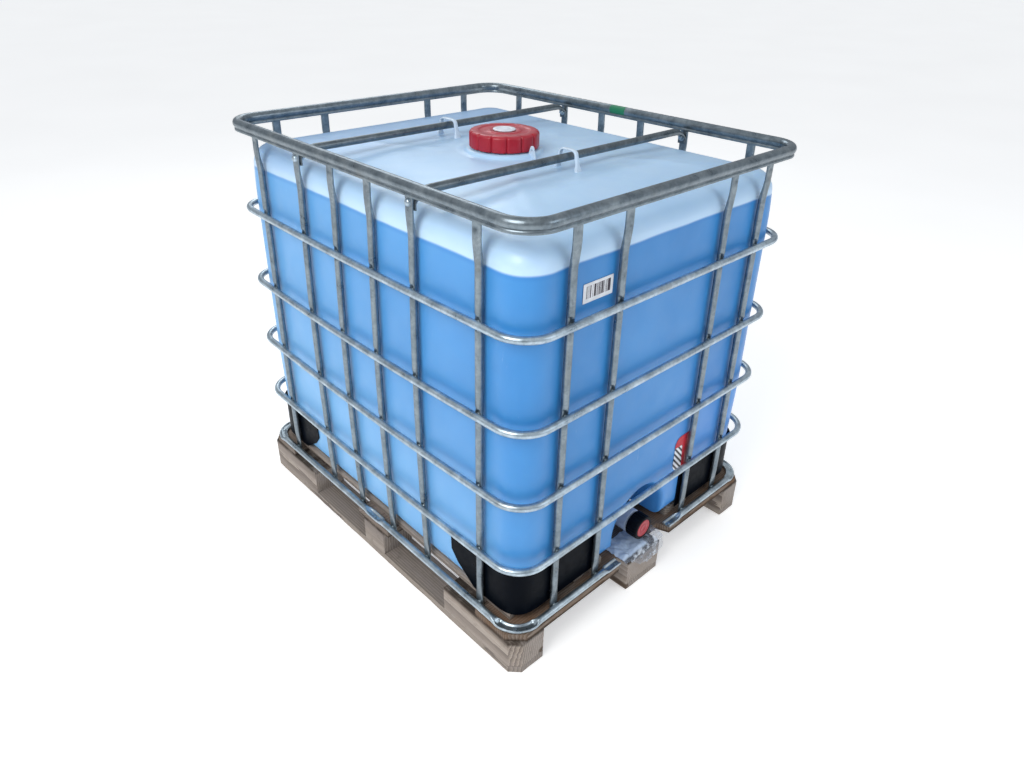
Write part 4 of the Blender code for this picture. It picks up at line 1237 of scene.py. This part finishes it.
def protector_point(t, offset, z, end_y, sx, sy):
    half_x = BOTTLE_HALF_X + offset
    half_y = BOTTLE_HALF_Y + offset
    radius = BOTTLE_CORNER + offset
    if t < 0.25:
        x, y = half_x, end_y + (half_y - radius - end_y) * t / 0.25
    elif t < 0.75:
        angle = (t - 0.25) / 0.5 * math.pi / 2
        swell = PROTECTOR_SWELL * math.sin(2 * angle) ** 2
        x = half_x - radius + (radius + swell) * math.cos(angle)
        y = half_y - radius + (radius + swell) * math.sin(angle)
    else:
        x, y = half_x - radius + (0.173 - half_x + radius) * (t - 0.75) / 0.25, half_y
    return Vector((sx * (x + side_bow(y, z) * x / half_x), sy * y, z))


PROTECTOR_SWELL = 0.008


# ---------------------------------------------------------------- pallet
def rough_board(node, grain, seed, tone, wet=0.0):
    """The CAD board again, with worn, slightly uneven edges and faces."""
    source = NODES[node].data
    work = bmesh.new()
    work.from_mesh(source)
    bmesh.ops.remove_doubles(work, verts=work.verts, dist=1e-5)
    bmesh.ops.dissolve_limit(work, angle_limit=math.radians(2), verts=work.verts[:], edges=work.edges[:])
    bmesh.ops.bevel(work, geom=work.edges[:], offset=0.0016, segments=2, profile=0.6, affect="EDGES")
    low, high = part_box(node)
    pitch = {"X": (0.030, 0.022, 0.011), "Y": (0.022, 0.030, 0.011)}[grain]
    for axis in range(3):
        normal = Vector([1.0 if k == axis else 0.0 for k in range(3)])
        count = max(1, int((high[axis] - low[axis]) / pitch[axis]))
        for k in range(1, count):
            at = low.copy()
            at[axis] = low[axis] + (high[axis] - low[axis]) * k / count
            bmesh.ops.bisect_plane(work, geom=work.verts[:] + work.edges[:] + work.faces[:],
                                   plane_co=at, plane_no=normal)
    work.normal_update()
    middle = (low + high) / 2
    half = (high - low) / 2
    shift = Vector((seed * 1.7, seed * 3.1, seed * 0.9))
    for vertex in work.verts:
        local = vertex.co - middle
        slow = noise.noise(vertex.co * 9 + shift)
        quick = noise.noise(vertex.co * 55 + shift)
        amount = 0.0005 + 0.0004 * slow
        near = sum(1 for k in range(3) if abs(abs(local[k]) - half[k]) < 0.0025)
        if near >= 2:
            amount += 0.0016 * max(0.0, quick - 0.05) + 0.0022 * max(0.0, slow - 0.30)
        direction = Vector([math.copysign(1.0, local[k]) if abs(abs(local[k]) - half[k]) < 0.0025 else 0.0
                            for k in range(3)])
        if node.startswith("bottom_board") or vertex.co.z > low.z + 0.001 or direction.z >= 0:
            vertex.co -= direction * amount
    mesh = bpy.data.meshes.new(node + "_wood")
    work.to_mesh(mesh)
    work.free()
    item = finish_object(node + "_wood", mesh, wood(node + "_grain", grain, seed, tone, wet), 38)
    place(item, nodes=(node,))


def make_pallet():
    seed = 1
    for row in ("front", "middle", "back"):
        for column in ("left", "centre", "right"):
            rough_board("block_" + row + "_" + column, "Y", seed, 1.10 + 0.06 * (seed % 3))
            seed += 1
    for column in ("left", "centre", "right"):
        rough_board("bottom_board_" + column, "Y", seed, 0.95 + 0.05 * (seed % 2))
        seed += 1
    for row, wet in (("front", 0.75), ("middle", 0.25), ("back", 0.30)):
        rough_board("cross_board_" + row, "X", seed, 0.80, wet)
        seed += 1
    for side in ("left", "right"):
        for place_name in ("outer", "inner"):
            rough_board("deck_board_" + side + "_" + place_name, "Y", seed, 1.02 + 0.05 * (seed % 3))
            seed += 1
    make_staples()


def make_staples():
    """Staples where boards cross."""
    draw = random.Random(77)
    parts = []
    for side in ("left", "right"):
        for kind in ("outer", "inner"):
            low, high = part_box("deck_board_" + side + "_" + kind)
            for y in (low.y + 0.030, low.y + 0.052, -0.030, 0.026, high.y - 0.052, high.y - 0.030):
                for x in (low.x + 0.022, high.x - 0.024):
                    at = Vector((x + draw.uniform(-0.006, 0.006), y + draw.uniform(-0.006, 0.006), high.z
                                 - 0.0004))
                    angle = draw.uniform(-0.5, 0.5)
                    parts.append(staple(at, angle))
    build("board_staples", merge(parts), DARK_STEEL, 45)


def staple(at, angle):
    """A wire crown 11 mm wide, half sunk in the wood."""
    along = Vector((math.cos(angle), math.sin(angle), 0))
    path = [at - along * 0.0056 - Vector((0, 0, 0.0022)), at - along * 0.0054, at - along * 0.0046
            + Vector((0, 0, 0.0001)),
            at + along * 0.0046 + Vector((0, 0,
                                          0.0001)), at + along * 0.0054, at + along * 0.0056
                                          - Vector((0, 0, 0.0022))]
    axis = UP.cross(along)
    return sweep(path, axis, [(0.0006, 0.0009, 0.0, 0.0, 3.0)] * len(path), around=8)


DARK_STEEL = galvanised("weathered_wire", 0.16, 0.6)


# ---------------------------------------------------------------- labels and tape
def code_label():
    look = Look("code_label_print")
    x = look.axis("X")
    z = look.axis("Z")
    low_x, high_x, low_z, high_z = LABEL_BOX
    stripes = look.node("TexWhiteNoise", noise_dimensions="1D")
    step = look.maths("FLOOR", look.times(x, 900.0))
    look.link(step, stripes.inputs["W"])
    bars = look.remap(stripes.outputs["Value"], 0.44, 0.46, smooth=False)
    inside = look.remap(x, low_x + 0.008, low_x + 0.009, smooth=False)
    inside = look.times(inside, look.remap(x, high_x - 0.008, high_x - 0.009, smooth=False))
    inside = look.times(inside, look.remap(z, low_z + 0.009, low_z + 0.010, smooth=False))
    inside = look.times(inside, look.remap(z, high_z - 0.006, high_z - 0.007, smooth=False))
    paper = look.ramp(look.noise(60, 3), [(0.3, (0.72, 0.74, 0.78)), (0.7, (0.86, 0.88, 0.92))])
    look.put("Base Color", look.mix(look.times(inside, bars), paper, (0.045, 0.035, 0.050)))
    look.put("Roughness", look.remap(look.noise(30), 0.3, 0.7, 0.40, 0.55))
    return look.material


def warning_label():
    """A plain red sticker with a black band and white slashes: a pattern, not a sign."""
    look = Look("colour_label_print")
    x = look.axis("X")
    z = look.axis("Z")
    low_x, _, _, high_z = STICKER_BOX
    red = look.ramp(look.noise(40, 3), [(0.3, (0.50, 0.020, 0.040)), (0.7, (0.62, 0.035, 0.050))])
    slant = look.maths("ADD", look.times(x, 60.0), look.times(z, 55.0))
    slash = look.remap(look.maths("FRACT", slant), 0.42, 0.50, smooth=False)
    band = look.remap(look.maths("ADD", x, look.times(z, 0.10)), low_x + 0.072, low_x + 0.069,
                      smooth=False)
    low_part = look.remap(z, high_z - 0.032, high_z - 0.034, smooth=False)
    field = look.times(band, low_part)
    colour = look.mix(field, red, (0.03, 0.03, 0.04))
    colour = look.mix(look.times(field, slash), colour, (0.82, 0.84, 0.88))
    look.put("Base Color", colour)
    look.put("Roughness", look.remap(look.noise(30), 0.3, 0.7, 0.34, 0.5))
    return look.material


LABEL_BOX = (-0.300, -0.206, 0.938, 0.982)
STICKER_BOX = (0.134, 0.222, 0.286, 0.400)


def sticker(name, box, radius, material):
    """A thin sheet with round corners on the front wall of the bottle."""
    low_x, high_x, low_z, high_z = box
    mid_x = (low_x + high_x) / 2
    mid_z = (low_z + high_z) / 2
    outline = rounded_outline((high_x - low_x) / 2, (high_z - low_z) / 2, radius, 8, (0.0,), (0.0,))
    loops = []
    for shrink, depth in ((0.0, 0.0), (0.0, 0.0003), (0.0004, 0.0005)):
        loop = []
        for a, b in outline:
            x = mid_x + a * (1 - shrink / abs(mid_x))
            z = mid_z + b * (1 - shrink / 0.05)
            wall = bottle_point(x, -BOTTLE_HALF_Y, z).y
            loop.append(Vector((x, wall - 0.0010 - depth, z)))
        loops.append(loop)
    build(name, loft(loops), material, 50)


def make_labels():
    sticker("code_label", LABEL_BOX, 0.002, code_label())
    sticker("colour_label", STICKER_BOX, 0.026, warning_label())


def make_tape():
    """Green tape wrapped once round the top rail on the right."""
    big = 0.01325
    middle_z = TOP_RAIL_HIGH - 0.0004 - 0.0130
    loops = []
    draw = random.Random(5)
    for y in np.linspace(-0.017, 0.039, 9):
        loop = []
        for k in range(28):
            angle = math.tau * k / 28
            r = big + 0.00012 * math.sin(3 * angle + 40 * y)
            z = middle_z + r * math.sin(angle)
            x = r * math.cos(angle)
            if z < TOP_RAIL_LOW + 0.006:
                x = math.copysign(min(abs(x) + 0.003, 0.0105), x)
                z = max(TOP_RAIL_LOW - 0.0001, middle_z + 1.30 * r * math.sin(angle))
            end = abs(y - 0.011) > 0.027
            skew = draw.uniform(-0.0006, 0.0006) if end else 0.0
            loop.append(Vector((TOP_RAIL_HALF_X + x, y + skew, min(z, TOP_RAIL_HIGH - 0.0001))))
        loops.append(loop)
    build("green_tape_band", loft(loops), TAPE, 60)


# ---------------------------------------------------------------- stage
FLOOR_HALF = 40.0
WALL_TOP = 30.0


def make_floor():
    size = FLOOR_HALF
    points = [(-size, -size, 0), (size, -size, 0), (size, size, 0), (-size, size, 0)]
    look = Look("pale_floor")
    look.put("Base Color", look.ramp(look.noise(0.8, 2), [(0.3, 0.86), (0.7, 0.90)]))
    look.put("Roughness", 0.7)
    look.put("Emission Color", (1.0, 1.0, 1.0))
    look.put("Emission Strength", 0.42)
    floor = make_object("floor", points, [(0, 1, 2, 3)], look.material)
    around = 48
    ring = [(size * math.cos(math.tau * k / around),
             size * math.sin(math.tau * k / around)) for k in range(around)]
    look = Look("pale_wall")
    look.put("Base Color", look.ramp(look.noise(0.3, 2), [(0.3, 0.10), (0.7, 0.12)]))
    look.put("Emission Color", (0.93, 0.95, 0.97))
    look.put("Emission Strength", 0.92)
    wall = make_object("wall", [Vector((x, y, z)) for z in (-0.5, WALL_TOP) for x, y in ring],
                       [(k, (k + 1) % around, around + (k + 1) % around, around
                         + k) for k in range(around)],
                       look.material)
    # the wall only closes the view: it lights nothing and hides no light
    wall.visible_diffuse = False
    wall.visible_glossy = False
    wall.visible_shadow = False


def make_light(name, place_at, aim, size, power, colour=(1, 1, 1)):
    data = bpy.data.lights.new(name, "AREA")
    data.shape = "RECTANGLE"
    data.size, data.size_y = size
    data.energy = power
    data.color = colour
    item = bpy.data.objects.new(name, data)
    item.location = place_at
    item.rotation_euler = (Vector(aim) - Vector(place_at)).to_track_quat("-Z", "Y").to_euler()
    bpy.context.scene.collection.objects.link(item)


def make_lights():
    make_light("key", (-3.0, -0.8, 3.2), (0, 0, 0.5), (2.0, 2.0), 88, (1.0, 0.985, 0.96))
    make_light("fill", (1.2, -3.6, 2.2), (0, 0, 0.5), (1.6, 1.6), 22, (0.90, 0.95, 1.0))
    make_light("back", (1.4, 3.0, 3.2), (0, 0, 0.8), (2.0, 1.2), 26, (0.95, 0.98, 1.0))
    world = bpy.data.worlds.new("studio")
    bpy.context.scene.world = world
    world.use_nodes = True
    tree = world.node_tree
    background = tree.nodes["Background"]
    coordinates = tree.nodes.new("ShaderNodeTexCoord")
    split = tree.nodes.new("ShaderNodeSeparateXYZ")
    ramp = tree.nodes.new("ShaderNodeValToRGB")
    ramp.color_ramp.elements[0].position = 0.0
    ramp.color_ramp.elements[0].color = (0.42, 0.46, 0.52, 1)
    ramp.color_ramp.elements[1].position = 0.75
    ramp.color_ramp.elements[1].color = (0.94, 0.97, 1.0, 1)
    tree.links.new(coordinates.outputs["Generated"], split.inputs["Vector"])
    tree.links.new(split.outputs["Z"], ramp.inputs["Fac"])
    tree.links.new(ramp.outputs["Color"], background.inputs["Color"])
    background.inputs["Strength"].default_value = 0.62


CAMERA_AT = Vector((-1.3721, -1.4772, 1.5847))
CAMERA_AZIMUTH = -43.921
CAMERA_ELEVATION = 28.464
CAMERA_ROLL = 1.232
CAMERA_FOCUS = 752.22 / 1024     # focal length as a share of the picture's width
CAMERA_SHIFT = (-1.4 / 1024, -32.1 / 1024)


def make_camera():
    azimuth = math.radians(CAMERA_AZIMUTH)
    elevation = math.radians(CAMERA_ELEVATION)
    roll = math.radians(CAMERA_ROLL)
    back = Vector((math.sin(azimuth) * math.cos(elevation), -math.cos(azimuth) * math.cos(elevation),
                   math.sin(elevation)))
    level = UP.cross(back).normalized()
    upright = back.cross(level)
    right = level * math.cos(roll) + upright * math.sin(roll)
    up = upright * math.cos(roll) - level * math.sin(roll)
    data = bpy.data.cameras.new("camera")
    data.sensor_width = 36.0
    data.lens = 36.0 * CAMERA_FOCUS
    data.shift_x, data.shift_y = CAMERA_SHIFT
    data.clip_end = 200
    camera = bpy.data.objects.new("camera", data)
    camera.matrix_world = Matrix(((right.x, up.x, back.x, CAMERA_AT.x),
                                  (right.y, up.y, back.y, CAMERA_AT.y),
                                  (right.z, up.z, back.z, CAMERA_AT.z), (0, 0, 0, 1)))
    bpy.context.scene.collection.objects.link(camera)
    bpy.context.scene.camera = camera


def dress_cad_nodes():
    """Materials for the small CAD nodes that stay as they are."""
    for node, material in (("fill_cap_gasket", RUBBER), ("outlet_cap_gasket", RUBBER),
                           ("valve_disc", MILKY)):
        slots = NODES[node].data.materials
        slots.clear()
        slots.append(material)


make_camera()
make_bottle()
make_stub()
make_seam_parts()
make_uprights()
make_rings()
make_welds()
make_top_rail()
make_bottom_rail()
make_crossbar("crossbar_front")
make_crossbar("crossbar_back")
make_bolts()
make_screws()
make_cap()
make_valve()
make_film()
make_protectors()
make_pallet()
make_labels()
make_tape()
dress_cad_nodes()
make_floor()
make_lights()
bpy.context.scene.view_settings.view_transform = "Standard"

bpy.context.view_layer.update()
